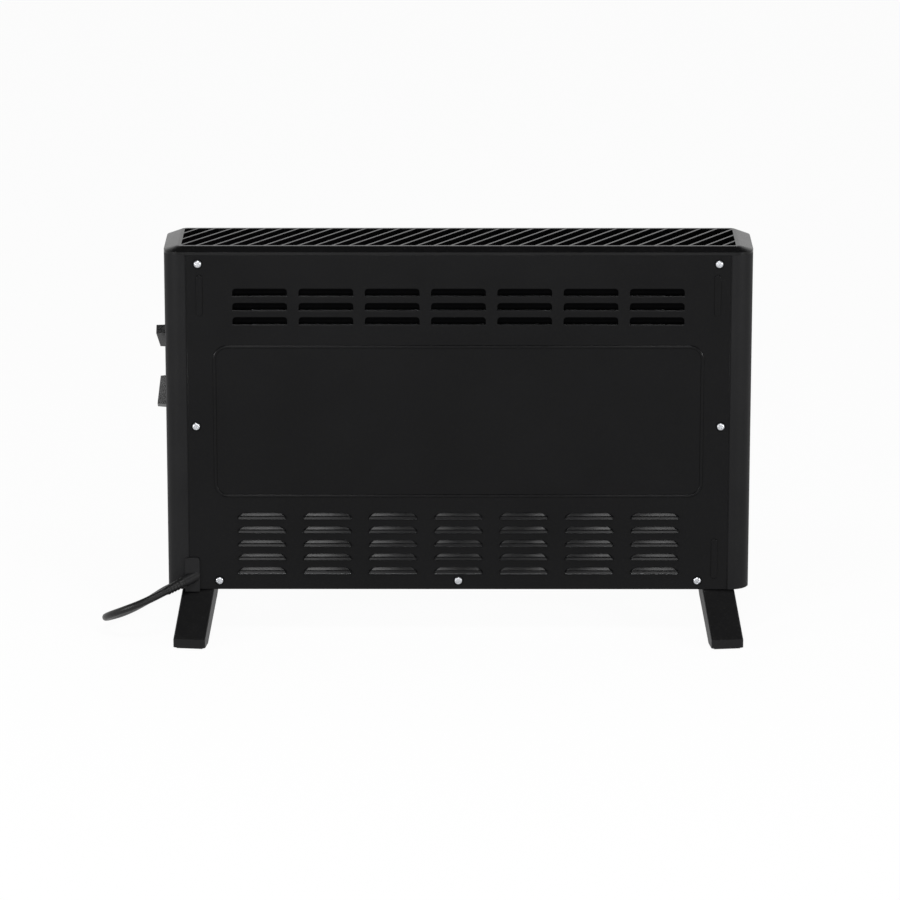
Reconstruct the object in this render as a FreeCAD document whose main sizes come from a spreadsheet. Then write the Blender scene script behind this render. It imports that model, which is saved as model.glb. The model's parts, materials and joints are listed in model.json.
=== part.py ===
import FreeCAD, Part
import Sketcher
import math
import os

Vector = FreeCAD.Vector
Rotation = FreeCAD.Rotation

# Free-standing convector heater in millimetres, +Z up. The front faces -Y, the controls are on
# the +X end, and the lead leaves the rear face near that end. Heights called "above the case"
# start at the underside of the case.

doc = FreeCAD.newDocument("ConvectorHeater")
sheet = doc.addObject("Spreadsheet::Sheet", "Sizes")

sizes = [
    ("case_width", 560, "over both end caps"),
    ("case_depth", 95, "front face to rear face"),
    ("floor_gap", 45, "floor to the underside of the case"),
    ("panel_height", 330, "walls, up to the top frame"),
    ("corner_radius", 18, "upright corners of the case"),
    ("cap_wall", 2.5, "moulded wall of the end caps"),
    ("end_flange", 20.5, "end face to the panel seam"),
    ("ledge_width", 16.5, "ledge that carries a panel's edge"),
    ("tongue_width", 10, "end cap tongue over the tray"),
    ("steel_sheet", 0.8, "sheet of the panels and tray"),
    ("bracket_sheet", 1, "sheet of the brackets and plates"),
    ("seam_gap", 0.4, "gap along the panel seams"),
    ("fit_gap", 0.3, "gap between pieces that slide together"),
    ("hole_gap", 0.1, "radial gap round screws and pins"),
    ("running_gap", 0.05, "radial gap round a turning shaft"),
    ("lip_height", 2.8, "upright edge of the top frame"),
    ("bevel_height", 4.4, "bevel of the top frame"),
    ("bevel_ends", 13.5, "bevel inset at the ends"),
    ("bevel_sides", 8, "bevel inset at front and back"),
    ("plateau_corner", 6, "corner radius of the raised grille"),
    ("grille_rim", 3.3, "flat rim round the slats"),
    ("slat_pitch", 16.1, "slat to slat along the case"),
    ("slat_lean", 46, "sideways run of a slat over the opening"),
    ("slat_width", 2.6, "slat measured along the case"),
    ("slat_height", 8, "slat measured upright"),
    ("skirt_depth", 6, "skirt of the top frame inside the walls"),
    ("skirt_wall", 2, "wall of the skirt"),
    ("louvre_inset", 91.3, "end face to the middle of the outer louvres"),
    ("louvre_gap", 9.9, "louvre to louvre along the case"),
    ("louvre_height", 8.4, "louvre measured upright"),
    ("louvre_depth", 4.2, "how far a louvre is pressed"),
    ("louvre_shoulder", 3.4, "straight end of a louvre above its slot"),
    ("louvre_corner", 9, "sloping corner of a louvre"),
    ("louvre_flare", 4.6, "lip shorter than the slot at each end"),
    ("louvre_wall", 0.96, "sheet of a louvre measured in the panel's plane"),
    ("louvre_columns", 7, "louvres side by side"),
    ("upper_rows", 3, "rows of louvres near the top"),
    ("upper_row_drop", 35.6, "panel's top edge to the top row"),
    ("upper_row_pitch", 13.9, "between upper rows"),
    ("lower_rows", 5, "rows of louvres near the bottom"),
    ("lower_row_height", 18.8, "lowest row above the case"),
    ("lower_row_pitch", 13.6, "between lower rows"),
    ("field_inset", 46, "end face to the bead rectangle"),
    ("field_low", 92, "lower edge of the bead rectangle above the case"),
    ("field_drop", 87.5, "panel's top edge to the bead rectangle"),
    ("field_corner", 14, "corner radius of the bead rectangle"),
    ("bead_width", 3.2, "width of the long bead"),
    ("bead_rise", 1, "height of the beads"),
    ("stub_inset", 34, "end face to the short beads"),
    ("stub_width", 6.2, "width of the short beads"),
    ("stub_drop", 39, "panel's top edge to the middle of the upper short beads"),
    ("stub_low", 31, "middle of the lower short bead above the case"),
    ("stub_length", 40, "length of the short beads"),
    ("top_screw_inset", 32.8, "end face to the top screws of the rear panel"),
    ("top_screw_drop", 8.4, "panel's top edge to the top screws"),
    ("mid_screw_inset", 29.5, "end face to the middle screws"),
    ("mid_screw_drop", 2.5, "middle of the panel to the middle screws"),
    ("low_screw_inset", 50, "end face to the outer bottom screws"),
    ("low_screw_height", 9, "bottom screws above the case"),
    ("head_radius", 3.7, "pan head of a screw"),
    ("head_height", 2.2, "pan head of a screw"),
    ("screw_radius", 1.9, "shank of a screw"),
    ("screw_length", 8, "shank of a panel screw"),
    ("tray_flange", 18, "upright flange of the tray"),
    ("slot_length", 40, "inlet slot along the case"),
    ("slot_width", 6, "inlet slot across the case"),
    ("slot_columns", 7, "inlet slots side by side"),
    ("slot_inset", 27, "bracket's foot to the outer inlet slots"),
    ("slot_row_pitch", 20, "slot row to slot row"),
    ("foot_inset", 31, "end face to the middle of a foot"),
    ("foot_splay", 7, "arms of a foot turned outwards, degrees"),
    ("foot_width", 31, "foot along the case"),
    ("foot_length", 200, "foot from front to back"),
    ("foot_end", 10, "top of a foot's end above the floor"),
    ("foot_flat", 87, "level top of a foot under the case"),
    ("foot_toe", 18, "level sole at each end of a foot"),
    ("arch_flat", 56, "level top of the arch under a foot"),
    ("saddle", 13, "thickness of a foot over its arch"),
    ("foot_round", 2.5, "rounding of a foot's edges"),
    ("pad_height", 1.5, "rubber pad under a foot"),
    ("pad_inset", 3, "pad edge from the foot's edge"),
    ("foot_screw_inset", 40, "end face to the foot screws"),
    ("foot_screw_y", 22, "foot screws from the middle plane"),
    ("foot_screw_boss", 4.5, "boss above the cap's floor for a foot screw"),
    ("thermostat_height", 240, "thermostat axis above the case"),
    ("selector_height", 185, "selector axis above the case"),
    ("thermostat_rest", 130, "grip of the thermostat knob at rest, degrees"),
    ("selector_rest", 32, "grip of the selector knob at rest, degrees"),
    ("knob_radius", 15.5, "disc of a knob"),
    ("knob_disc", 2.6, "thickness of a knob's disc"),
    ("knob_edge", 1, "bevel round a knob's disc"),
    ("grip_length", 30, "bar of a knob"),
    ("grip_width", 9, "bar of a knob"),
    ("grip_high", 12.2, "high end of the bar above the recess side"),
    ("grip_low", 9.6, "low end of the bar above the recess side"),
    ("knob_bore", 7, "depth of the shaft hole in a knob"),
    ("knob_gap", 0.8, "disc to the floor of its recess"),
    ("recess_depth", 3.6, "dished recess in the end cap"),
    ("recess_gap", 1.5, "recess wall to the knob's disc"),
    ("shaft_radius", 3, "control shafts"),
    ("shaft_hold", 7, "shaft inside the control body"),
    ("plate_setback", 17, "end face to the control plate"),
    ("plate_half", 34, "half width of the control plate"),
    ("plate_margin", 32, "control plate beyond the shaft axes"),
    ("post_radius", 4, "posts that carry the control plate"),
    ("post_inset", 6, "posts from the edges of the plate"),
    ("bush_radius", 4.5, "threaded bush of a control"),
    ("bush_length", 7, "bush beyond the control plate"),
    ("nut_radius", 7.5, "corner radius of a bush nut"),
    ("nut_height", 3.5, "bush nut"),
    ("thermostat_side", 32, "square body of the thermostat"),
    ("thermostat_depth", 27, "thermostat body along its shaft"),
    ("selector_side", 28, "square body of the selector switch"),
    ("selector_depth", 24, "selector body along its shaft"),
    ("tab_length", 5.5, "terminal tabs of the controls"),
    ("tab_width", 6, "terminal tabs of the controls"),
    ("element_low", 65, "lower element axis above the case"),
    ("element_high", 125, "upper element axis above the case"),
    ("element_span", 46, "fin tip to fin tip"),
    ("element_fin", 2.4, "fin thickness"),
    ("element_core", 6, "core radius of an element"),
    ("element_angle", 30, "fins from the level, degrees"),
    ("bracket_inset", 25.5, "end cap's ledge to an element bracket"),
    ("bracket_half", 24, "half width of an element bracket"),
    ("bracket_top", 180, "top of an element bracket above the case"),
    ("bracket_foot", 14.5, "foot flange of an element bracket"),
    ("bracket_screw_y", 17, "bracket screws from the middle plane"),
    ("collar_length", 17.5, "ceramic collar between element and bracket"),
    ("collar_radius", 8.5, "ceramic collar of an element"),
    ("neck_radius", 6.5, "ceramic neck through the bracket"),
    ("neck_length", 8.5, "ceramic neck through the bracket"),
    ("pin_radius", 2, "element terminals"),
    ("pin_length", 10, "element terminals"),
    ("shield_setback", 6, "front panel to the heat shield"),
    ("shield_inset", 17.5, "bracket to the end of the heat shield"),
    ("shield_height", 270, "heat shield above the tray"),
    ("shield_foot", 12, "foot flange of the heat shield"),
    ("cutout_height", 166, "thermal cut-out above the case"),
    ("cutout_radius", 8, "thermal cut-out"),
    ("cutout_depth", 8, "thermal cut-out"),
    ("ear_half", 13, "half length of the cut-out's ears"),
    ("ear_width", 7, "width of the cut-out's ears"),
    ("rivet_radius", 1.4, "rivets of the cut-out"),
    ("rivet_head", 2.4, "head radius of the rivets"),
    ("gland_inset", 24, "end face to the lead outlet"),
    ("gland_height", 12, "lead outlet above the case"),
    ("gland_width", 14, "gland plate along the case"),
    ("gland_plate", 2, "gland plate"),
    ("gland_top", 32, "upper edge of the gland plate above the case"),
    ("gland_drop", 1.8, "gland plate below the case"),
    ("nose_radius", 5.6, "nose of the gland"),
    ("nose_length", 10.5, "nose of the gland"),
    ("spigot_radius", 5, "gland spigot through the wall"),
    ("spigot_length", 5, "gland spigot through the wall"),
    ("relief_length", 20, "strain relief sleeve"),
    ("relief_root", 5, "thick end of the sleeve"),
    ("relief_tip", 4.3, "thin end of the sleeve"),
    ("relief_groove", 0.5, "depth of the sleeve's grooves"),
    ("relief_ribs", 6, "ribs on the sleeve"),
    ("cord_radius", 3.6, "lead"),
    ("lead_run", 22, "straight lead beyond the sleeve"),
    ("bend_share", 0.45, "share of the shorter run that a bend takes up"),
    ("clamp_length", 8, "cord clamp along the lead"),
    ("clamp_width", 16, "cord clamp across the lead"),
    ("clamp_height", 16, "cord clamp"),
    ("clamp_screw", 1.2, "shank radius of the clamp screws"),
    ("clamp_screw_head", 1.9, "head radius of the clamp screws"),
    ("block_width", 16, "terminal block"),
    ("block_length", 30, "terminal block"),
    ("block_height", 16, "terminal block"),
    ("block_end", 6, "terminal block's near end from the middle plane"),
    ("wire_radius", 1.1, "inner wires"),
    ("coil_radius", 46, "outer turn of the put-away lead"),
    ("coil_gap", 0.5, "turn to turn"),
    ("coil_inset", 128, "end face to the middle of the coil"),
    ("coil_forward", 25, "tip of the feet to the start of the coil"),
    ("tie_wall", 1, "tie round the coil"),
    ("tie_gap", 0.6, "tie to the turns"),
    ("tie_width", 8, "tie along the lead"),
    ("plug_radius", 18.5, "plug"),
    ("plug_length", 44, "plug"),
    ("plug_neck", 6.5, "plug at the lead"),
    ("plug_waist", 2.2, "swell of the plug's grip"),
    ("plug_rim", 16, "full width part of the plug"),
    ("tail_run", 16, "straight runs of the lead beside the plug"),
    ("plug_pin_radius", 2.4, "plug pins"),
    ("plug_pin_length", 19, "plug pins"),
    ("plug_pin_spread", 9.5, "plug pins from the axis"),
    ("clip_width", 6, "earth clips of the plug"),
    ("clip_length", 14, "earth clips of the plug"),
    ("clip_thickness", 0.6, "earth clips of the plug"),
]
for row, (alias, number, meaning) in enumerate(sizes, start=1):
    sheet.set(f"A{row}", meaning)
    sheet.set(f"B{row}", str(number))
    sheet.setAlias(f"B{row}", alias)
doc.recompute()


class Size:
    """A number that also carries the sheet expression it comes from."""

    def __init__(self, number, text):
        self.number = number
        self.text = text

    def joined(self, sign, other, number):
        return Size(number, f"({self.text} {sign} {as_size(other).text})")

    def __add__(self, other):
        return self.joined("+", other, self.number + as_size(other).number)

    def __sub__(self, other):
        return self.joined("-", other, self.number - as_size(other).number)

    def __mul__(self, other):
        return self.joined("*", other, self.number * as_size(other).number)

    def __truediv__(self, other):
        return self.joined("/", other, self.number / as_size(other).number)

    def __radd__(self, other):
        return as_size(other) + self

    def __rsub__(self, other):
        return as_size(other) - self

    def __rmul__(self, other):
        return as_size(other) * self

    def __neg__(self):
        return Size(-self.number, f"(-1 * {self.text})")

    def __float__(self):
        return float(self.number)

    def __int__(self):
        return int(self.number)


def as_size(item):
    return item if isinstance(item, Size) else Size(item, f"({item})")


class Named:
    """The sheet's sizes, each under its own name."""


d = Named()
for alias, number, meaning in sizes:
    setattr(d, alias, Size(float(sheet.get(alias)), f"Sizes.{alias}"))

# Places that several pieces share
half_width = d.case_width / 2
half_depth = d.case_depth / 2
floor_z = d.floor_gap
wall_top = d.floor_gap + d.panel_height
lip_top = wall_top + d.lip_height
grille_top = lip_top + d.bevel_height
seam_x = half_width - d.end_flange
ledge_x = seam_x - d.ledge_width
panel_back = half_depth - d.steel_sheet
tray_top = floor_z + d.steel_sheet
cap_floor = floor_z + d.cap_wall
thermostat_z = floor_z + d.thermostat_height
selector_z = floor_z + d.selector_height
recess_face = half_width - d.recess_depth
recess_radius = d.knob_radius + d.recess_gap
knob_face = recess_face + d.knob_gap
plate_face = half_width - d.plate_setback
plate_inner = plate_face - d.bracket_sheet
gland_x = half_width - d.gland_inset
gland_z = floor_z + d.gland_height
column_pitch = (half_width - d.louvre_inset) * 2 / (d.louvre_columns - 1)
louvre_length = column_pitch - d.louvre_gap
field_half = half_width - d.field_inset
field_high = d.panel_height - d.field_drop
stub_x = half_width - d.stub_inset
stub_high = d.panel_height - d.stub_drop
top_screw_x = half_width - d.top_screw_inset
top_screw_height = d.panel_height - d.top_screw_drop
mid_screw_x = half_width - d.mid_screw_inset
mid_screw_height = d.panel_height / 2 - d.mid_screw_drop
low_screw_x = half_width - d.low_screw_inset
foot_x = half_width - d.foot_inset
foot_screw_x = half_width - d.foot_screw_inset
bracket_x = ledge_x - d.bracket_inset
shield_half = bracket_x - d.shield_inset
slot_span = bracket_x - d.bracket_foot - d.slot_inset - d.slot_length / 2
slot_pitch = slot_span * 2 / (d.slot_columns - 1)
knob_reach = d.knob_gap + d.grip_high - d.recess_depth
middle = -knob_reach / 2

nodes = []


def bind(item, target, size):
    item.setExpression(target, as_size(size).text)


def place(item, x=0, y=0, z=0):
    for axis, size in zip("xyz", (x, y, z)):
        bind(item, f"Placement.Base.{axis}", size)


def node(item, label, x=0, y=0, z=0):
    item.Label = label
    place(item, middle + x, y, z)
    nodes.append(item)
    return item


def box(name, x, y, z):
    item = doc.addObject("Part::Box", name)
    for target, (low, high) in zip(("Length", "Width", "Height"), (x, y, z)):
        bind(item, target, as_size(high) - low)
    place(item, x[0], y[0], z[0])
    return item


turns = {"x": Rotation(Vector(0, 1, 0), 90), "y": Rotation(Vector(1, 0, 0), -90), "z": Rotation()}


def rod(name, axis, centre, span, radius):
    item = doc.addObject("Part::Cylinder", name)
    item.Placement = FreeCAD.Placement(Vector(), turns[axis])
    bind(item, "Radius", radius)
    bind(item, "Height", as_size(span[1]) - span[0])
    spot = list(centre)
    spot.insert("xyz".index(axis), span[0])
    place(item, *spot)
    return item


def fuse(name, items):
    item = doc.addObject("Part::MultiFuse", name)
    item.Shapes = items
    return item


def group(name, items):
    item = doc.addObject("Part::Compound", name)
    item.Links = items
    return item


def cut(name, base, tools):
    item = doc.addObject("Part::Cut", name)
    item.Base = base
    item.Tool = tools[0] if len(tools) == 1 else group(f"{name}_tools", tools)
    return item


def rounded(name, base, radius, wanted):
    doc.recompute()
    item = doc.addObject("Part::Fillet", name)
    item.Base = base
    picks = [i for i, edge in enumerate(base.Shape.Edges, start=1) if wanted(edge)]
    item.Edges = [(i, float(radius), float(radius)) for i in picks]
    return item


def upright(edge, x=None):
    low = edge.BoundBox
    level = low.XLength < 1e-6 and low.YLength < 1e-6
    return level and (x is None or abs(low.XMin - float(x)) < 1e-6)


def origin_plane(body, role):
    for item in body.Origin.OriginFeatures:
        if item.Role == role:
            return item


def outline(body, name, role, points, offset=0):
    sketch = body.newObject("Sketcher::SketchObject", name)
    sketch.AttachmentSupport = [(origin_plane(body, role), "")]
    sketch.MapMode = "FlatFace"
    bind(sketch, "AttachmentOffset.Base.z", offset)
    corners = [(as_size(a), as_size(b)) for a, b in points]
    count = len(corners)
    for i, (a, b) in enumerate(corners):
        after = corners[(i + 1) % count]
        line = Part.LineSegment(Vector(a.number, b.number), Vector(after[0].number, after[1].number))
        sketch.addGeometry(line)
    for i in range(count):
        sketch.addConstraint(Sketcher.Constraint("Coincident", i, 2, (i + 1) % count, 1))
    for i, corner in enumerate(corners):
        for kind, axis, size in zip(("DistanceX", "DistanceY"), (-2, -1), corner):
            if size.number == 0:
                sketch.addConstraint(Sketcher.Constraint("PointOnObject", i, 1, axis))
                continue
            limit = sketch.addConstraint(Sketcher.Constraint(kind, -1, 1, i, 1, size.number))
            sketch.setExpression(f"Constraints[{limit}]", size.text)
    return sketch


def padded(body, name, role, points, span):
    sketch = outline(body, f"{name}_outline", role, points, span[0])
    pad = body.newObject("PartDesign::Pad", name)
    pad.Profile = sketch
    bind(pad, "Length", as_size(span[1]) - span[0])
    return pad


def turned(body, name, points):
    sketch = outline(body, f"{name}_outline", "XZ_Plane", points)
    turn = body.newObject("PartDesign::Revolution", name)
    turn.Profile = sketch
    turn.ReferenceAxis = (sketch, ["V_Axis"])
    turn.Angle = 360
    return turn


def new_body(name):
    return doc.addObject("PartDesign::Body", name)


def copies(name, shape, spots):
    item = doc.addObject("Part::Feature", name)
    placed = []
    for placement in spots:
        one = shape.copy()
        one.Placement = placement.multiply(one.Placement)
        placed.append(one)
    item.Shape = Part.makeCompound(placed)
    return item


def mirrored(side, low, high):
    return (low, high) if side > 0 else (-high, -low)


# Pan-head screw, axis along Z, head above Z = 0, cross recess in the head
def screw(name, length, radius=d.screw_radius, head=d.head_radius):
    body = new_body(f"{name}_turned")
    crown = d.head_height
    points = [
        (0, -length),
        (radius, -length),
        (radius, 0),
        (head, 0),
        (head, crown / 2),
        (head - crown / 3, crown - crown / 8),
        (head / 2, crown),
        (0, crown),
    ]
    turned(body, f"{name}_profile", points)
    reach = head / 2
    slim = head / 8
    depth = (crown / 2, crown * 2)
    bars = [
        box(f"{name}_bar_a", (-reach, reach), (-slim, slim), depth),
        box(f"{name}_bar_b", (-slim, slim), (-reach, reach), depth),
    ]
    item = cut(f"{name}_master", body, [fuse(f"{name}_cross", bars)])
    doc.recompute()
    return item


def spot(x, y, z, rotation=Rotation()):
    return FreeCAD.Placement(Vector(float(x), float(y), float(z)), rotation)


# Outline of a rounded rectangle in a level plane
def rounded_wire(half_x, half_y, radius, z):
    hx, hy, r, z = (float(v) for v in (half_x, half_y, radius, z))
    diagonal = r * math.sqrt(0.5)
    edges = []
    last = None
    first = None
    for sx, sy in ((1, -1), (1, 1), (-1, 1), (-1, -1)):
        centre = Vector(sx * (hx - r), sy * (hy - r), z)
        ends = [centre + Vector(sx * r, 0, 0), centre + Vector(0, sy * r, 0)]
        if sx * sy < 0:
            ends.reverse()
        start, end = ends
        if last is None:
            first = start
        else:
            edges.append(Part.LineSegment(last, start).toShape())
        bulge = centre + Vector(sx * diagonal, sy * diagonal, 0)
        edges.append(Part.Arc(start, bulge, end).toShape())
        last = end
    edges.append(Part.LineSegment(last, first).toShape())
    return Part.Wire(edges)


def rounded_slab(half_x, half_y, radius, low, high):
    face = Part.Face(rounded_wire(half_x, half_y, radius, low))
    return face.extrude(Vector(0, 0, float(high) - float(low)))


# Louvres: one pressed hood, lip downwards, growing along +Y from the plane Y = 0
def hood(length, height, depth, shoulder, corner, flare):
    half = length / 2
    base = [
        Vector(-half, 0, 0),
        Vector(half, 0, 0),
        Vector(half, 0, shoulder),
        Vector(half - corner, 0, height),
        Vector(corner - half, 0, height),
        Vector(-half, 0, shoulder),
    ]
    lip_left = Vector(flare - half, depth, 0)
    lip_right = Vector(half - flare, depth, 0)
    rings = [
        base,
        [base[0], base[1], lip_right, lip_left],
        [base[1], base[2], lip_right],
        [base[2], base[3], lip_right],
        [base[3], base[4], lip_left, lip_right],
        [base[4], base[5], lip_left],
        [base[5], base[0], lip_left],
    ]
    faces = [Part.Face(Part.makePolygon(ring + ring[:1])) for ring in rings]
    solid = Part.Solid(Part.Shell(faces))
    if solid.Volume < 0:
        solid.reverse()
    return solid


def flat_ring(half_x, low, high, radius, width, rise):
    centre_z = (float(low) + float(high)) / 2
    half_z = (float(high) - float(low)) / 2
    root = float(d.steel_sheet) / 2
    outer = rounded_slab(half_x, half_z, radius, -root, rise)
    inner = rounded_slab(half_x - width, half_z - float(width), radius - width, -root, rise)
    ring = outer.cut(inner)
    ring.Placement = FreeCAD.Placement(Vector(0, 0, centre_z), Rotation(Vector(1, 0, 0), -90))
    return ring


def stub_bead(x, z):
    root = float(d.steel_sheet) / 2
    half = float(d.stub_width) / 2
    bead = rounded_slab(half, d.stub_length / 2, half - float(d.hole_gap), -root, d.bead_rise)
    turn = Rotation(Vector(1, 0, 0), -90)
    bead.Placement = FreeCAD.Placement(Vector(float(x), 0, float(z)), turn)
    return bead


# A pressed steel panel, outer face on Y = 0, underside on Z = 0
def pressed_panel(rows, beads, holes):
    half = float(seam_x - d.seam_gap)
    sheet_steel = float(d.steel_sheet)
    plate = Part.makeBox(2 * half, sheet_steel, float(d.panel_height), Vector(-half, -sheet_steel, 0))
    outer = hood(*(float(v) for v in (
        louvre_length, d.louvre_height, d.louvre_depth,
        d.louvre_shoulder, d.louvre_corner, d.louvre_flare)))
    slim = float(d.louvre_wall)
    inner = hood(
        float(louvre_length) - 2 * slim,
        float(d.louvre_height) - slim,
        float(d.louvre_depth),
        float(d.louvre_shoulder) - slim / 2,
        float(d.louvre_corner),
        float(d.louvre_flare),
    )
    hoods = []
    voids = []
    columns = int(d.louvre_columns)
    for inward, height in rows:
        for column in range(columns):
            x = (column - (columns - 1) / 2) * float(column_pitch)
            for source, store, depth in ((outer, hoods, 0), (inner, voids, -sheet_steel)):
                one = source.copy()
                one.translate(Vector(x, depth, height - float(d.louvre_height) / 2))
                if inward:
                    one = one.mirror(Vector(0, -sheet_steel / 2, 0), Vector(0, 1, 0))
                store.append(one)
    shape = plate.fuse(hoods + beads) if hoods or beads else plate
    reach = float(d.steel_sheet) * 3
    drills = []
    for x, z, radius in holes:
        at = Vector(float(x), -reach, float(z))
        drills.append(Part.makeCylinder(float(radius), 2 * reach, at, Vector(0, 1, 0)))
    shape = shape.cut(voids + drills) if voids or drills else shape
    return shape.Solids[0] if len(shape.Solids) == 1 else shape


screw_hole = d.screw_radius + d.hole_gap
side_screws = [
    (side * x, height)
    for side in (-1, 1)
    for x, height in ((top_screw_x, top_screw_height), (mid_screw_x, mid_screw_height))
]
low_screws = [(x, d.low_screw_height) for x in (-low_screw_x, as_size(0), low_screw_x)]

upper_rows = [
    (True, float(d.panel_height - d.upper_row_drop - d.upper_row_pitch * i))
    for i in range(int(d.upper_rows))
]
lower_rows = [
    (False, float(d.lower_row_height + d.lower_row_pitch * i)) for i in range(int(d.lower_rows))
]
field_bead = flat_ring(
    field_half, d.field_low, field_high, d.field_corner, d.bead_width, d.bead_rise)
stubs = [
    stub_bead(stub_x, stub_high),
    stub_bead(-stub_x, stub_high),
    stub_bead(-stub_x, d.stub_low),
]
spigot_hole = (gland_x, d.gland_height, d.spigot_radius + d.hole_gap)
panel_holes = [(x, z, screw_hole) for x, z in side_screws + low_screws] + [spigot_hole]

rear_panel = doc.addObject("Part::Feature", "RearPanel")
rear_panel.Shape = pressed_panel(upper_rows + lower_rows, [field_bead] + stubs, panel_holes)
node(rear_panel, "rear_panel", y=half_depth, z=floor_z)

front_panel = doc.addObject("Part::Feature", "FrontPanel")
front_panel.Shape = pressed_panel([], [field_bead.copy()], [])
front_panel.Placement = FreeCAD.Placement(Vector(), Rotation(Vector(0, 0, 1), 180))
node(front_panel, "front_panel", y=-half_depth, z=floor_z)


# End caps: open channels with a floor, a ledge behind each panel edge and a tongue on the tray
def end_cap(side, label):
    name = "CapRight" if side > 0 else "CapLeft"
    x = mirrored(side, ledge_x, half_width)
    block = box(f"{name}_block", x, (-half_depth, half_depth), (floor_z, wall_top))
    outer_x = side * half_width
    shell = rounded(f"{name}_shell", block, d.corner_radius, lambda e: upright(e, outer_x))
    inside_x = half_width - d.cap_wall
    room = box(
        f"{name}_room", mirrored(side, ledge_x - d.cap_wall, inside_x),
        (d.cap_wall - half_depth, half_depth - d.cap_wall), (cap_floor, wall_top + d.cap_wall))
    inner_radius = d.corner_radius - d.cap_wall
    hollow = rounded(f"{name}_hollow", room, inner_radius, lambda e: upright(e, side * inside_x))
    steps = [hollow]
    for sign in (-1, 1):
        y = mirrored(sign, panel_back, half_depth + d.cap_wall)
        steps.append(box(
            f"{name}_step_{sign + 1}", mirrored(side, ledge_x - d.cap_wall, seam_x), y,
            (floor_z - d.cap_wall, wall_top + d.cap_wall)))
    extras = [cut(f"{name}_channel", shell, steps)]
    tongue_y = (d.cap_wall - half_depth, half_depth - d.cap_wall)
    extras.append(box(
        f"{name}_tongue", mirrored(side, ledge_x - d.tongue_width, ledge_x + d.cap_wall), tongue_y,
        (tray_top, cap_floor)))
    drills = []
    for sign in (-1, 1):
        at = (side * foot_screw_x, sign * d.foot_screw_y)
        tall = cap_floor + d.foot_screw_boss
        boss = d.screw_radius * 2
        extras.append(rod(f"{name}_boss_{sign + 1}", "z", at, (tray_top, tall), boss))
        span = (floor_z - d.cap_wall, tall - d.steel_sheet)
        drills.append(rod(f"{name}_boss_hole_{sign + 1}", "z", at, span, screw_hole))
    for i, (sx, z) in enumerate(side_screws):
        if sx.number * side > 0:
            span = (half_depth - d.cap_wall * 2, half_depth + d.cap_wall)
            drills.append(rod(f"{name}_screw_hole_{i}", "y", (sx, floor_z + z), span, screw_hole))
    if side > 0:
        for i, z in enumerate((thermostat_z, selector_z)):
            cup = (recess_face - d.cap_wall, half_width - d.cap_wall)
            wall = recess_radius + d.cap_wall
            extras.append(rod(f"{name}_cup_{i}", "x", (0, z), cup, wall))
            dish = (recess_face, half_width + d.cap_wall)
            drills.append(rod(f"{name}_dish_{i}", "x", (0, z), dish, recess_radius))
            through = (recess_face - d.cap_wall * 2, half_width)
            drills.append(rod(f"{name}_shaft_hole_{i}", "x", (0, z), through,
                              d.shaft_radius + d.fit_gap))
        for i, (y, z) in enumerate(post_spots):
            span = (plate_face, half_width - d.cap_wall / 2)
            extras.append(rod(f"{name}_post_{i}", "x", (y, z), span, d.post_radius))
            hole = (plate_face - d.cap_wall, plate_face + d.screw_length)
            drills.append(rod(f"{name}_post_hole_{i}", "x", (y, z), hole, screw_hole))
        span = (half_depth - d.cap_wall * 2, half_depth + d.cap_wall)
        drills.append(rod(f"{name}_spigot_hole", "y", (gland_x, gland_z), span,
                          d.spigot_radius + d.hole_gap))
    node(cut(name, fuse(f"{name}_solid", extras), drills), label)


post_y = d.plate_half - d.post_inset
post_low = selector_z - d.plate_margin + d.post_inset
post_high = thermostat_z + d.plate_margin - d.post_inset
post_spots = [(sign * post_y, z) for sign in (-1, 1) for z in (post_low, post_high)]
end_cap(1, "end_cap_right")
end_cap(-1, "end_cap_left")

# Top frame: upright lip, bevel, raised grille with slanted slats, skirt inside the walls
plateau_x = half_width - d.bevel_ends
plateau_y = half_depth - d.bevel_sides
window_x = float(plateau_x - d.grille_rim)
window_y = float(plateau_y - d.grille_rim)
window_corner = float(d.plateau_corner - d.grille_rim)
lip = rounded_slab(half_width, half_depth, d.corner_radius, wall_top, lip_top)
bevel = Part.makeLoft([
    rounded_wire(half_width, half_depth, d.corner_radius, lip_top),
    rounded_wire(plateau_x, plateau_y, d.plateau_corner, grille_top)], True, True)
skirt_x = half_width - d.cap_wall - d.fit_gap
skirt_y = half_depth - d.cap_wall - d.fit_gap
skirt_r = d.corner_radius - d.cap_wall - d.fit_gap
skirt_low = wall_top - d.skirt_depth
skirt = rounded_slab(skirt_x, skirt_y, skirt_r, skirt_low, lip_top)
skirt_room = rounded_slab(
    skirt_x - d.skirt_wall, skirt_y - d.skirt_wall, skirt_r - d.skirt_wall, skirt_low, lip_top)
window = rounded_slab(window_x, window_y, window_corner, skirt_low, grille_top + d.cap_wall)
slat_low = float(grille_top - d.slat_height)
hold = float(d.grille_rim) / 3
slat_zone = rounded_slab(window_x + hold, window_y + hold, window_corner + hold, slat_low, grille_top)
slats = []
lean = float(d.slat_lean)
reach = window_y + 2 * hold
run = lean * reach / window_y / 2
count = int((window_x + lean) / float(d.slat_pitch)) + 1
for i in range(-count, count + 1):
    x = i * float(d.slat_pitch)
    half = float(d.slat_width) / 2
    corners = [
        Vector(x + run - half, reach, slat_low),
        Vector(x + run + half, reach, slat_low),
        Vector(x - run + half, -reach, slat_low),
        Vector(x - run - half, -reach, slat_low),
    ]
    face = Part.Face(Part.makePolygon(corners + corners[:1]))
    slats.append(face.extrude(Vector(0, 0, float(d.slat_height))))
frame = lip.fuse([bevel, skirt]).cut([window, skirt_room])
grille = frame.fuse(slat_zone.common(Part.makeCompound(slats)).Solids)
top_grille = doc.addObject("Part::Feature", "TopGrille")
top_grille.Shape = grille.removeSplitter()
node(top_grille, "top_grille")

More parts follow.
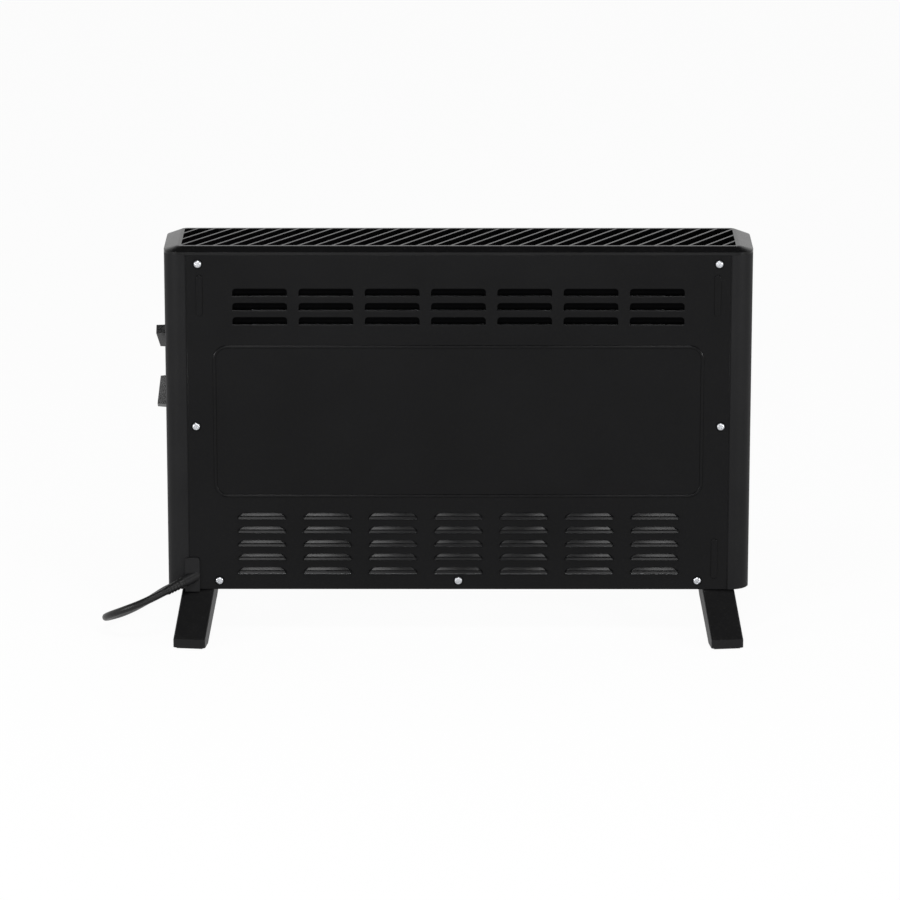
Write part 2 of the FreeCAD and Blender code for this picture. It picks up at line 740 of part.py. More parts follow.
# Base tray: a folded channel between the panels, with inlet slots
tray_x = ledge_x - d.fit_gap
tray_body = new_body("TrayFold")
tray_side = panel_back - d.steel_sheet
flange_top = floor_z + d.tray_flange
padded(tray_body, "TrayProfile", "YZ_Plane", [
    (-panel_back, floor_z),
    (panel_back, floor_z),
    (panel_back, flange_top),
    (tray_side, flange_top),
    (tray_side, tray_top),
    (-tray_side, tray_top),
    (-tray_side, flange_top),
    (-panel_back, flange_top),
], (-tray_x, tray_x))
tray_cuts = []
slot_count = int(d.slot_columns)
for column in range(slot_count):
    for line in (-1, 0, 1):
        x = slot_pitch * (column - (slot_count - 1) / 2)
        y = d.slot_row_pitch * line
        tray_cuts.append(box(
            f"TraySlot_{column}_{line + 1}", (x - d.slot_length / 2, x + d.slot_length / 2),
            (y - d.slot_width / 2, y + d.slot_width / 2),
            (floor_z - d.steel_sheet, tray_top + d.steel_sheet)))
tray_drop = (floor_z - d.steel_sheet, tray_top + d.steel_sheet)
bracket_screw_x = bracket_x - d.bracket_foot / 2
for side in (-1, 1):
    for sign in (-1, 1):
        at = (side * foot_screw_x, sign * d.foot_screw_y)
        tray_cuts.append(rod(f"TrayFootHole_{side}_{sign}", "z", at, tray_drop, screw_hole))
        at = (side * bracket_screw_x, sign * d.bracket_screw_y)
        tray_cuts.append(rod(f"TrayBracketHole_{side}_{sign}", "z", at, tray_drop, screw_hole))
for i, (x, z) in enumerate(low_screws):
    span = (tray_side - d.steel_sheet, half_depth)
    tray_cuts.append(rod(f"TrayPanelHole_{i}", "y", (x, floor_z + z), span, screw_hole))
node(cut("BaseTray", tray_body, tray_cuts), "base_tray")

# Rear panel screws
back_turn = Rotation(Vector(1, 0, 0), -90)
panel_screw = screw("PanelScrew", d.screw_length)
panel_spots = [spot(x, half_depth, floor_z + z, back_turn) for x, z in side_screws + low_screws]
node(copies("RearPanelScrews", panel_screw.Shape, panel_spots), "rear_panel_screws")


# Feet: a saddle under the case and two sloping arms over an arch, rubber pads under the toes
splay = math.radians(float(d.foot_splay))
foot_half = d.foot_width / 2
arch = d.arch_flat / 2
saddle_half = arch + foot_half * math.sin(splay)
arm_length = (d.foot_length / 2 - saddle_half) * (1 / math.cos(splay))
saddle_under = floor_z - d.saddle


# Turns an arm, drawn along +Y from its root, outwards from the saddle
def arm_turn(side, sign):
    angle = -float(d.foot_splay) if sign > 0 else 180 + float(d.foot_splay)
    return FreeCAD.Placement(Vector(), Rotation(Vector(0, 0, 1), side * angle))


def foot_arm(name, side, sign):
    body = new_body(name)
    pad = padded(body, f"{name}_profile", "YZ_Plane", [
        (0, saddle_under),
        (arm_length - d.foot_toe, d.pad_height),
        (arm_length, d.pad_height),
        (arm_length, d.foot_end),
        (d.foot_flat / 2 - arch, floor_z),
        (0, floor_z),
    ], (-foot_half, foot_half))
    doc.recompute()

    def soft(edge):
        low = edge.BoundBox
        beside = low.XLength < 1e-6
        slope = low.YLength > 1 and low.ZLength > 1
        above = low.ZMin >= float(d.foot_end) - 1e-6
        tip = low.YLength < 1e-6 and abs(low.YMin - float(arm_length)) < 1e-6
        return beside and ((slope and above) or tip)

    picks = [f"Edge{i}" for i, edge in enumerate(pad.Shape.Edges, start=1) if soft(edge)]
    fillet = body.newObject("PartDesign::Fillet", f"{name}_round")
    fillet.Base = (pad, picks)
    bind(fillet, "Radius", d.foot_round)
    body.Placement = arm_turn(side, sign)
    place(body, y=sign * arch)
    return body


def foot(side, label):
    name = "FootRight" if side > 0 else "FootLeft"
    solids = [box(f"{name}_saddle", (-foot_half, foot_half), (-saddle_half, saddle_half),
                  (saddle_under, floor_z))]
    at = side * (foot_screw_x - foot_x)
    drills = []
    for sign in (-1, 1):
        solids.append(foot_arm(f"{name}_arm_{sign + 1}", side, sign))
        span = (saddle_under - d.saddle, floor_z + d.saddle)
        drills.append(rod(
            f"{name}_hole_{sign + 1}", "z", (at, sign * d.foot_screw_y), span, screw_hole))
    node(cut(name, fuse(f"{name}_solid", solids), drills), label, x=side * foot_x)


foot(1, "foot_right")
foot(-1, "foot_left")

pads = []
for side in (-1, 1):
    for sign in (-1, 1):
        pad = box(f"Pad_{side}_{sign}", (d.pad_inset - foot_half, foot_half - d.pad_inset),
                  (arm_length - d.foot_toe + d.pad_inset / 2, arm_length - d.pad_inset),
                  (0, d.pad_height))
        turned_pad = group(f"PadTurned_{side}_{sign}", [pad])
        turned_pad.Placement = arm_turn(side, sign)
        place(turned_pad, side * foot_x, sign * arch)
        pads.append(turned_pad)
node(group("FootPads", pads), "foot_pads")

foot_screw_length = d.saddle + d.cap_wall + d.foot_screw_boss - d.steel_sheet * 2
foot_screw = screw("FootScrew", foot_screw_length)
under_turn = Rotation(Vector(1, 0, 0), 180)
foot_spots = [
    spot(side * foot_screw_x, sign * d.foot_screw_y, floor_z - d.saddle, under_turn)
    for side in (-1, 1)
    for sign in (-1, 1)
]
node(copies("FootScrews", foot_screw.Shape, foot_spots), "foot_screws")

# Controls: a plate on four posts, and a thermostat and a selector switch on it
plate_low = selector_z - d.plate_margin
plate_high = thermostat_z + d.plate_margin
plate = box("ControlPlate_sheet", (plate_inner, plate_face), (-d.plate_half, d.plate_half),
            (plate_low, plate_high))
plate_holes = []
plate_span = (plate_inner - d.bracket_sheet, plate_face + d.bracket_sheet)
for i, z in enumerate((thermostat_z, selector_z)):
    plate_holes.append(rod(f"ControlPlate_bush_hole_{i}", "x", (0, z), plate_span,
                           d.bush_radius + d.hole_gap))
for i, (y, z) in enumerate(post_spots):
    plate_holes.append(rod(f"ControlPlate_post_hole_{i}", "x", (y, z), plate_span, screw_hole))
node(cut("ControlPlate", plate, plate_holes), "control_plate")

plate_screw = screw("PlateScrew", d.screw_length)
inward_turn = Rotation(Vector(0, 1, 0), -90)
plate_spots = [spot(plate_inner, y, z, inward_turn) for y, z in post_spots]
node(copies("ControlPlateScrews", plate_screw.Shape, plate_spots), "control_plate_screws")


def control(name, label, z, side, depth, tab_signs):
    half = side / 2
    back = plate_inner - depth
    bush_end = plate_face + d.bush_length
    solids = [
        box(f"{name}_case", (back, plate_inner), (-half, half), (z - half, z + half)),
        rod(f"{name}_bush", "x", (0, z), (plate_inner - d.fit_gap, bush_end), d.bush_radius),
    ]
    tab_x = back + depth / 2
    for sign in tab_signs:
        y = mirrored(sign, half - d.fit_gap, half + d.tab_length)
        x = (tab_x - d.tab_width / 2, tab_x + d.tab_width / 2)
        solids.append(box(f"{name}_tab_{sign + 1}", x, y, (z - half / 2, z - half / 2 + d.steel_sheet)))
    bore = rod(f"{name}_bore", "x", (0, z), (plate_inner - d.shaft_hold, bush_end + d.bush_length),
               d.shaft_radius + d.running_gap)
    node(cut(f"{name}Body", fuse(f"{name}_solid", solids), [bore]), f"{label}_body")

    nut = doc.addObject("Part::Prism", f"{name}_hexagon")
    nut.Polygon = 6
    bind(nut, "Circumradius", d.nut_radius)
    bind(nut, "Height", d.nut_height)
    nut.Placement = FreeCAD.Placement(Vector(), turns["x"])
    place(nut, plate_face, 0, z)
    eye = rod(f"{name}_nut_eye", "x", (0, z), (plate_inner, bush_end), d.bush_radius + d.running_gap)
    node(cut(f"{name}Nut", nut, [eye]), f"{label}_nut")

    shaft = rod(f"{name}_rod", "x", (0, z), (plate_inner - d.shaft_hold, knob_face + d.knob_bore),
                d.shaft_radius)
    node(group(f"{name}Shaft", [shaft]), f"{label}_shaft")


def knob(name, label, z, rest):
    body = new_body(f"{name}_moulding")
    rim = d.knob_radius
    turned(body, f"{name}_disc", [
        (0, 0),
        (rim, 0),
        (rim, d.knob_disc - d.knob_edge),
        (rim - d.knob_edge, d.knob_disc),
        (0, d.knob_disc),
    ])
    half = d.grip_length / 2
    root = d.knob_disc / 2
    lower = half - d.fit_gap * 3
    padded(body, f"{name}_grip", "XZ_Plane", [
        (-half, root),
        (half, root),
        (lower, d.grip_high),
        (-lower, d.grip_low),
    ], (-d.grip_width / 2, d.grip_width / 2))
    bore = rod(f"{name}_bore", "z", (0, 0), (-d.knob_disc, d.knob_bore), d.shaft_radius + d.running_gap)
    item = cut(name, body, [bore])
    spin = Rotation(Vector(0, 0, 1), float(rest))
    item.Placement = FreeCAD.Placement(Vector(), turns["x"].multiply(spin))
    node(item, label, x=knob_face, z=z)


control("Thermostat", "thermostat", thermostat_z, d.thermostat_side, d.thermostat_depth, (-1, 1))
control("Selector", "selector", selector_z, d.selector_side, d.selector_depth, (1,))
knob("ThermostatKnob", "thermostat_knob", thermostat_z, d.thermostat_rest)
knob("SelectorKnob", "selector_knob", selector_z, d.selector_rest)

# Heating elements: finned extrusions between two brackets, on ceramic ends
element_end = bracket_x - d.collar_length
element_heights = (floor_z + d.element_low, floor_z + d.element_high)
for name, label, z in zip(("ElementLower", "ElementUpper"), ("element_lower", "element_upper"),
                          element_heights):
    solids = [rod(f"{name}_core", "x", (0, 0), (-element_end, element_end), d.element_core)]
    for sign in (-1, 1):
        fin = doc.addObject("Part::Box", f"{name}_fin_{sign + 1}")
        bind(fin, "Length", element_end * 2)
        bind(fin, "Width", d.element_span)
        bind(fin, "Height", d.element_fin)
        tilt = Rotation(Vector(1, 0, 0), sign * float(d.element_angle))
        corner = Vector(-float(element_end), -float(d.element_span) / 2, -float(d.element_fin) / 2)
        fin.Placement = FreeCAD.Placement(tilt.multVec(corner), tilt)
        solids.append(fin)
    node(fuse(name, solids), label, z=z)

bracket_outer = bracket_x + d.bracket_sheet
neck_end = bracket_x + d.neck_length
ceramics = []
stubs = []
for side in (-1, 1):
    for i, z in enumerate(element_heights):
        tag = f"{'Right' if side > 0 else 'Left'}{i}"
        collar = rod(f"Collar{tag}", "x", (0, z), mirrored(side, element_end, bracket_x),
                     d.collar_radius)
        neck = rod(f"Neck{tag}", "x", (0, z), mirrored(side, bracket_x - d.bracket_sheet, neck_end),
                   d.neck_radius)
        ceramics.append(fuse(f"Ceramic{tag}", [collar, neck]))
        stubs.append(rod(f"Terminal{tag}", "x", (0, z),
                         mirrored(side, neck_end, neck_end + d.pin_length), d.pin_radius))
node(group("ElementInsulators", ceramics), "element_insulators")
node(group("ElementTerminals", stubs), "element_terminals")

cutout_z = floor_z + d.cutout_height
rivet_y = d.ear_half - d.rivet_head
foot_top = tray_top + d.bracket_sheet
for side, label in ((1, "element_bracket_right"), (-1, "element_bracket_left")):
    name = "BracketRight" if side > 0 else "BracketLeft"
    y = (-d.bracket_half, d.bracket_half)
    fold = fuse(f"{name}_fold", [
        box(f"{name}_plate", mirrored(side, bracket_x, bracket_outer), y,
            (tray_top, floor_z + d.bracket_top)),
        box(f"{name}_foot", mirrored(side, bracket_x - d.bracket_foot, bracket_outer), y,
            (tray_top, foot_top)),
    ])
    drills = []
    across = mirrored(side, bracket_x - d.bracket_sheet, bracket_outer + d.bracket_sheet)
    for i, z in enumerate(element_heights):
        drills.append(rod(f"{name}_neck_hole_{i}", "x", (0, z), across, d.neck_radius + d.hole_gap))
    for sign in (-1, 1):
        at = (side * bracket_screw_x, sign * d.bracket_screw_y)
        drills.append(rod(f"{name}_screw_hole_{sign + 1}", "z", at,
                          (floor_z, foot_top + d.bracket_sheet), screw_hole))
        if side > 0:
            drills.append(rod(f"{name}_rivet_hole_{sign + 1}", "x", (sign * rivet_y, cutout_z), across,
                              d.rivet_radius + d.hole_gap))
    node(cut(name, fold, drills), label)

bracket_screw = screw("BracketScrew", d.screw_length)
bracket_spots = [
    spot(side * bracket_screw_x, sign * d.bracket_screw_y, foot_top)
    for side in (-1, 1)
    for sign in (-1, 1)
]
node(copies("BracketScrews", bracket_screw.Shape, bracket_spots), "bracket_screws")

shield_y = d.shield_setback - half_depth
shield_body = new_body("HeatShield")
shield_top = tray_top + d.shield_height
padded(shield_body, "ShieldProfile", "YZ_Plane", [
    (shield_y, tray_top),
    (shield_y + d.shield_foot, tray_top),
    (shield_y + d.shield_foot, tray_top + d.steel_sheet),
    (shield_y + d.steel_sheet, tray_top + d.steel_sheet),
    (shield_y + d.steel_sheet, shield_top),
    (shield_y, shield_top),
], (-shield_half, shield_half))
node(shield_body, "heat_shield")

# Thermal cut-out riveted to the right bracket above the elements
ear_x = (bracket_x - d.bracket_sheet, bracket_x)
can_end = bracket_x - d.cutout_depth
cutout_solids = [
    rod("Cutout_can", "x", (0, cutout_z), (can_end, bracket_x), d.cutout_radius),
    box("Cutout_ears", ear_x, (-d.ear_half, d.ear_half),
        (cutout_z - d.ear_width / 2, cutout_z + d.ear_width / 2)),
]
tab_y = d.cutout_radius / 2
for sign in (-1, 1):
    cutout_solids.append(box(
        f"Cutout_tab_{sign + 1}", (can_end - d.tab_length, can_end + d.fit_gap),
        (sign * tab_y - d.steel_sheet / 2, sign * tab_y + d.steel_sheet / 2),
        (cutout_z - d.tab_width / 2, cutout_z + d.tab_width / 2)))
ear_span = (ear_x[0] - d.bracket_sheet, bracket_x)
ear_holes = [
    rod(f"Cutout_rivet_hole_{sign + 1}", "x", (sign * rivet_y, cutout_z), ear_span,
        d.rivet_radius + d.hole_gap)
    for sign in (-1, 1)
]
node(cut("ThermalCutout", fuse("Cutout_solid", cutout_solids), ear_holes), "thermal_cutout")
rivets = []
for sign in (-1, 1):
    at = (sign * rivet_y, cutout_z)
    rivets.append(fuse(f"Rivet_{sign + 1}", [
        rod(f"Rivet_shank_{sign + 1}", "x", at, (ear_x[0], bracket_outer), d.rivet_radius),
        rod(f"Rivet_head_{sign + 1}", "x", at, (ear_x[0] - d.steel_sheet, ear_x[0]), d.rivet_head),
        rod(f"Rivet_tail_{sign + 1}", "x", at, (bracket_outer, bracket_outer + d.steel_sheet),
            d.rivet_head),
    ]))
node(group("CutoutRivets", rivets), "cutout_rivets")

# Lead inside the case: spigot, clamp and terminal block on the end cap's floor
spigot_end = half_depth - d.spigot_length
inner_cord = rod("InnerCord_rod", "y", (gland_x, gland_z), (d.block_end, spigot_end), d.cord_radius)
node(group("InnerCord", [inner_cord]), "inner_cord")
clamp_y = (half_depth - d.spigot_length * 2 - d.clamp_length, half_depth - d.spigot_length * 2)
clamp_x = (gland_x - d.clamp_width / 2, gland_x + d.clamp_width / 2)
clamp_top = cap_floor + d.clamp_height
clamp = box("Clamp_block", clamp_x, clamp_y, (cap_floor, clamp_top))
clamp_mid = (clamp_y[0] + clamp_y[1]) / 2
clamp_screw_x = (d.clamp_width / 2 + d.cord_radius) / 2
clamp_holes = [rod("Clamp_bore", "y", (gland_x, gland_z),
                   (clamp_y[0] - d.clamp_length, clamp_y[1] + d.clamp_length),
                   d.cord_radius + d.running_gap)]
for sign in (-1, 1):
    at = (gland_x + sign * clamp_screw_x, clamp_mid)
    clamp_holes.append(rod(f"Clamp_hole_{sign + 1}", "z", at,
                           (cap_floor + d.cap_wall / 2, clamp_top + d.cap_wall),
                           d.clamp_screw + d.hole_gap))
node(cut("CordClamp", clamp, clamp_holes), "cord_clamp")
clamp_screw = screw("ClampScrew", d.clamp_height - d.cap_wall, d.clamp_screw, d.clamp_screw_head)
clamp_spots = [spot(gland_x + sign * clamp_screw_x, clamp_mid, clamp_top) for sign in (-1, 1)]
node(copies("ClampScrews", clamp_screw.Shape, clamp_spots), "clamp_screws")
block_x = (gland_x - d.block_width / 2, gland_x + d.block_width / 2)
block_top = cap_floor + d.block_height
block = box("Block_body", block_x, (d.block_end - d.block_length, d.block_end), (cap_floor, block_top))
well_pitch = d.block_length / 4
wells = [
    rod(f"Block_well_{i}", "z", (gland_x - d.block_width / 4, d.block_end - well_pitch * (i + 1)),
        (block_top - d.tab_length, block_top + d.tab_length), d.pin_radius)
    for i in range(3)
]
node(cut("TerminalBlock", block, wells), "terminal_block")


# A path of straight runs and tangent arcs through hand-chosen points
def rounded_path(points, report=None):
    share = float(d.bend_share)
    spots = [Vector(*point) for point in points]
    edges = []
    last = spots[0]
    for before, here, after in zip(spots, spots[1:], spots[2:]):
        back = before - here
        on = after - here
        shorter = min(back.Length, on.Length)
        back_way = back.normalize()
        on_way = on.normalize()
        turn = math.pi - back_way.getAngle(on_way)
        radius = share * shorter / math.tan(turn / 2)
        if report:
            print(f"{report} radius {radius:.1f} mm, turn {math.degrees(turn):.0f} degrees")
        start = here + back_way * (share * shorter)
        end = here + on_way * (share * shorter)
        inner = (back_way + on_way).normalize()
        middle_point = here + inner * (radius / math.cos(turn / 2) - radius)
        edges.append(Part.LineSegment(last, start).toShape())
        edges.append(Part.Arc(start, middle_point, end).toShape())
        last = end
    edges.append(Part.LineSegment(last, spots[-1]).toShape())
    return Part.Wire(edges)


def tube(path, radius):
    first = path.Edges[0]
    start = first.valueAt(first.FirstParameter)
    way = first.tangentAt(first.FirstParameter)
    ring = Part.Wire([Part.makeCircle(float(radius), start, way)])
    return path.makePipeShell([ring], True, False)


def checked_tube(path, radius, label):
    solid = tube(path, radius)
    wanted = math.pi * float(radius) ** 2 * path.Length
    print(f"{label}: {path.Length:.1f} mm long, volume {solid.Volume / wanted:.4f} of section x length")
    return solid


# Inner wires between the terminal block, the controls, the cut-out and the elements
wire = float(d.wire_radius)
pin_end = float(neck_end + d.pin_length)
low_z, high_z = (float(z) for z in element_heights)
tab_x = float(plate_inner - d.thermostat_depth / 2)
tab_reach = float(d.thermostat_side / 2 + d.tab_length / 2)
thermostat_tab = float(thermostat_z - d.thermostat_side / 4)
selector_tab = float(selector_z - d.selector_side / 4)
selector_base = float(selector_z - d.selector_side / 2)
selector_mid = float(plate_inner - d.selector_depth / 2)
switch_reach = float(d.selector_side / 2 + d.tab_length / 2)
block_z = float(block_top)
elbow = float(d.tab_length)
block_far = float(d.block_end - d.block_length)
link_x = -(pin_end + elbow)
wire_routes = [
    [(tab_x, -tab_reach, block_z), (tab_x, -tab_reach, thermostat_tab)],
    [(tab_x, tab_reach, thermostat_tab), (tab_x, tab_reach, (thermostat_tab + selector_tab) / 2),
     (selector_mid, switch_reach, (thermostat_tab + selector_tab) / 2 - 2 * elbow),
     (selector_mid, switch_reach, selector_tab + float(d.steel_sheet))],
    [(pin_end, 0, high_z), (selector_mid - elbow, 0, high_z), (selector_mid - elbow, 0, selector_base)],
    [(pin_end, 0, low_z), (selector_mid + elbow, 0, low_z), (selector_mid + elbow, 0, selector_base)],
    [(-pin_end, 0, low_z), (link_x, 0, low_z), (link_x, 0, high_z), (-pin_end, 0, high_z)],
]
tab_mid = float(can_end - d.tab_length / 2)
tab_top = float(cutout_z + d.tab_width / 2)
cut_y = float(tab_y)
over = float(floor_z + d.bracket_top) + 2 * elbow
beside = float(d.bracket_half) + elbow / 2
shield_run = float(shield_y + d.steel_sheet) + wire + float(d.hole_gap)
shield_end = float(shield_half) - 3 * elbow
pin_mid = -float(neck_end + d.pin_length / 2)
wire_routes += [
    [(tab_x, cut_y, block_z), (tab_x, cut_y, low_z - 3 * elbow), (pin_end, beside, low_z),
     (pin_end - elbow, beside, high_z + 5 * elbow), (tab_mid + 3 * elbow, beside - elbow, over),
     (tab_mid, cut_y, over - elbow / 2), (tab_mid, cut_y, tab_top)],
    [(tab_mid, -cut_y, tab_top), (tab_mid, -cut_y, over - elbow), (shield_end + elbow, -beside, over),
     (shield_end - elbow, shield_run, over), (elbow - shield_end, shield_run, over),
     (-shield_end - elbow, -beside, over), (pin_mid + elbow, -beside / 2, over),
     (pin_mid, 0, over - 4 * elbow), (pin_mid, 0, high_z + float(d.pin_radius))],
]


def wire_tube(route):
    if len(route) > 2:
        return tube(rounded_path(route), wire)
    start, end = (Vector(*point) for point in route)
    return tube(Part.Wire([Part.LineSegment(start, end).toShape()]), wire)


wires = [wire_tube(route) for route in wire_routes]
wiring = doc.addObject("Part::Feature", "WiringLoom")
wiring.Shape = Part.makeCompound(wires)
node(wiring, "wiring_loom")

# Gland, strain relief and the lead's route. The lead leaves towards the end, outwards and down.
lead_way = Vector(0.83, 0.46, -0.33).normalize()
gland_start = Vector(float(gland_x), float(half_depth), float(gland_z))
nose_end = gland_start + lead_way * float(d.nose_length)
relief_end = nose_end + lead_way * float(d.relief_length)
lead_turn = Rotation(Vector(0, 0, 1), lead_way)

gland_plate = box(
    "Gland_plate", (gland_x - d.gland_width / 2, gland_x + d.gland_width / 2),
    (half_depth, half_depth + d.gland_plate), (floor_z - d.gland_drop, floor_z + d.gland_top))
gland_soft = rounded("Gland_soft", gland_plate, d.gland_width / 5,
                     lambda e: e.BoundBox.YLength > 1 and e.BoundBox.ZMin > float(floor_z))
gland_nose = doc.addObject("Part::Cylinder", "Gland_nose")
bind(gland_nose, "Radius", d.nose_radius)
bind(gland_nose, "Height", d.nose_length * 2)
gland_nose.Placement = FreeCAD.Placement(gland_start - lead_way * float(d.nose_length), lead_turn)
wall_zone = box(
    "Gland_wall_zone", (gland_x - d.gland_width * 2, gland_x + d.gland_width * 2),
    (half_depth - d.gland_width * 2, half_depth),
    (gland_z - d.gland_width * 2, gland_z + d.gland_width * 2))
side_zone = box(
    "Gland_side_zone", (gland_x - d.gland_width * 2, gland_x - d.gland_width / 2),
    (half_depth - d.gland_width, half_depth + d.gland_width * 2),
    (gland_z - d.gland_width * 2, gland_z + d.gland_width * 2))
outer_nose = cut("Gland_outer_nose", gland_nose, [wall_zone, side_zone])
spigot = rod("Gland_spigot", "y", (gland_x, gland_z), (spigot_end, half_depth + d.gland_plate / 2),
             d.spigot_radius)
node(fuse("CordGland", [gland_soft, outer_nose, spigot]), "cord_gland")

relief_body = new_body("Relief_moulding")
ribs = int(d.relief_ribs)
step = d.relief_length / (ribs * 2)
profile = [(0, 0)]
for i in range(ribs):
    for half_step in (0, 1):
        lower = step * (2 * i + half_step)
        upper = lower + step
        slim = (d.relief_root - d.relief_tip) / (ribs * 2) * (2 * i + half_step)
        wide = d.relief_root - slim - d.relief_groove * half_step
        profile += [(wide, lower), (wide, upper)]
profile.append((0, d.relief_length))
turned(relief_body, "Relief_profile", profile)
relief_body.Placement = FreeCAD.Placement(nose_end, lead_turn)
node(relief_body, "strain_relief", x=nose_end.x, y=nose_end.y, z=nose_end.z)

# The put-away coil: two layers of two turns, wound inwards below and outwards above
cord = float(d.cord_radius)
tie_room = float(d.tie_wall) + float(d.tie_gap)
floor_clear = float(d.fit_gap)
coil_low = cord + tie_room + floor_clear
pitch = 2 * cord + float(d.coil_gap)
end_x = float(half_width)
rear_y = float(half_depth)
front_y = -float(d.foot_length) / 2
lead_low = cord + floor_clear + float(d.hole_gap)
coil_x = end_x - float(d.coil_inset)
coil_y = front_y - float(d.coil_forward)
lead_points = [
    tuple(relief_end),
    tuple(relief_end + lead_way * float(d.lead_run)),
    (end_x + 42, rear_y + 21, lead_low + 26),
    (end_x + 58.5, rear_y + 5, lead_low + 15.5),
    (end_x + 62.7, rear_y - 17.5, lead_low + 6.5),
    (end_x + 45.3, rear_y - 53.5, lead_low + 1),
    (end_x + 26.4, front_y + 53, lead_low),
    (end_x + 7, front_y + 2, lead_low),
    (end_x - 13, front_y - 16.5, lead_low),
    (end_x - 43, front_y - 24, lead_low + 0.2),
    (end_x - 86.5, coil_y, coil_low),
    (coil_x + 2 * cord, coil_y, coil_low),
]
lead_path = rounded_path(lead_points, "lead")
power_cord = doc.addObject("Part::Feature", "PowerCord")
power_cord.Shape = checked_tube(lead_path, cord, "power_cord")
node(power_cord, "power_cord")


def tangent_arc(start, way, end):
    chord = end - start
    along = Vector(chord).normalize()
    lean_angle = way.getAngle(along)
    side = (way - along * way.dot(along)).normalize()
    bulge = (start + end) * 0.5 + side * (chord.Length / 2 * math.tan(lean_angle / 2))
    end_way = along * (2 * way.dot(along)) - way
    return Part.Arc(start, bulge, end).toShape(), end_way


half_turns = [float(d.coil_radius) - pitch / 2 * i for i in range(4)]
climb_radius = half_turns[-1] - pitch / 2
here = Vector(*lead_points[-1])
way = Vector(-1, 0, 0)
coil_edges = []


def coil_straight():
    global here
    end = here + way * (2 * cord)
    coil_edges.append(Part.LineSegment(here, end).toShape())
    here = end


def coil_arc(end):
    global here, way
    edge, way = tangent_arc(here, way, end)
    coil_edges.append(edge)
    here = end


def coil_half_turn(radius):
    coil_arc(here + Vector(0, 2 * radius * way.x, 0))


coil_straight()
for radius in half_turns:
    coil_half_turn(radius)
climb_out = math.sqrt(climb_radius ** 2 + (pitch / 2) ** 2)
climb_end = here + Vector(0, -2 * climb_radius, pitch)
coil_arc(here + Vector(-climb_out, -climb_radius, pitch / 2))
coil_arc(climb_end)
for radius in reversed(half_turns):
    coil_half_turn(radius)
coil_straight()
coil_path = Part.Wire(coil_edges)
coil_end = Vector(here)
cord_coil = doc.addObject("Part::Feature", "CordCoil")
cord_coil.Shape = checked_tube(coil_path, cord, "cord_coil")
node(cord_coil, "cord_coil")


def least_gap(path, radius):
    spacing = 2.0
    points = path.discretize(Distance=spacing)
    apart = int(math.pi * 2 * radius / spacing)
    least = min(
        points[i].distanceToPoint(points[j])
        for i in range(len(points))
        for j in range(i + apart, len(points)))
    return least - 2 * radius


print(f"cord_coil: least gap to itself {least_gap(coil_path, cord):.2f} mm")

# Tie round the coil's -X side, where all five strands lie beside each other
tie_low_x = coil_x - half_turns[0] - cord
tie_high_x = coil_x - climb_radius + cord
tie_y = coil_y - half_turns[0]
tie_gap = float(d.tie_gap)
tie_wall = float(d.tie_wall)
tie_half = float(d.tie_width) / 2
tie_low = coil_low - cord - tie_gap
tie_high = coil_low + pitch + cord + tie_gap


def tie_slab(grow, width):
    across = tie_high_x - tie_low_x + 2 * (tie_gap + grow)
    upward = tie_high - tie_low + 2 * grow
    low = Vector(tie_low_x - tie_gap - grow, tie_y - width, tie_low - grow)
    slab = Part.makeBox(across, 2 * width, upward, low)
    along = [e for e in slab.Edges if e.BoundBox.YLength > width]
    return slab.makeFillet(cord / 3 + grow, along)


cord_tie = doc.addObject("Part::Feature", "CordTie")
cord_tie.Shape = tie_slab(tie_wall, tie_half).cut(tie_slab(0, tie_half * 2))
node(cord_tie, "cord_tie")

# Tail to the plug, which lies on the floor beside the coil and tilts until its rim touches it
tail_run = float(d.tail_run)
plug_radius = float(d.plug_radius)
rim_reach = tail_run + float(d.plug_length - d.plug_rim)
rise = (floor_clear - coil_end.z) / math.hypot(rim_reach, plug_radius)
tilt = math.atan2(plug_radius, rim_reach) + math.asin(rise)
plug_way = Vector(math.cos(tilt), 0, math.sin(tilt))
tail_mid = coil_end + Vector(tail_run, 0, 0)
plug_start = tail_mid + plug_way * tail_run
tail_path = rounded_path([tuple(coil_end), tuple(tail_mid), tuple(plug_start)], "tail")
cord_tail = doc.addObject("Part::Feature", "CordTail")
cord_tail.Shape = checked_tube(tail_path, cord, "cord_tail")
node(cord_tail, "cord_tail")

plug_turn = Rotation(Vector(0, 0, 1), plug_way)
plug_body = new_body("PlugBody")
grip_end = d.plug_length - d.plug_rim - d.plug_waist
turned(plug_body, "PlugProfile", [
    (0, 0),
    (d.plug_neck, 0),
    (d.plug_neck + d.plug_waist, grip_end / 2),
    (d.plug_radius - d.plug_waist * 2, grip_end),
    (d.plug_radius, d.plug_length - d.plug_rim),
    (d.plug_radius, d.plug_length),
    (0, d.plug_length),
])
plug_body.Placement = FreeCAD.Placement(plug_start, plug_turn)
node(plug_body, "plug_body", x=plug_start.x, y=plug_start.y, z=plug_start.z)

plug_pins = group("PlugPins", [
    rod(f"PlugPin_{sign + 1}", "z", (0, sign * d.plug_pin_spread),
        (d.plug_length, d.plug_length + d.plug_pin_length), d.plug_pin_radius)
    for sign in (-1, 1)
])
plug_pins.Placement = FreeCAD.Placement(plug_start, plug_turn)
node(plug_pins, "plug_pins", x=plug_start.x, y=plug_start.y, z=plug_start.z)

clip_low = d.plug_length
clips = []
for sign in (-1, 1):
    x = mirrored(sign, d.plug_radius - d.clip_thickness * 4, d.plug_radius - d.clip_thickness * 3)
    clips.append(box(f"PlugClip_{sign + 1}", x, (-d.clip_width / 2, d.clip_width / 2),
                     (clip_low, clip_low + d.clip_length / 4)))
plug_clips = group("PlugEarthClips", clips)
plug_clips.Placement = FreeCAD.Placement(plug_start, plug_turn)
node(plug_clips, "plug_earth_clips", x=plug_start.x, y=plug_start.y, z=plug_start.z)

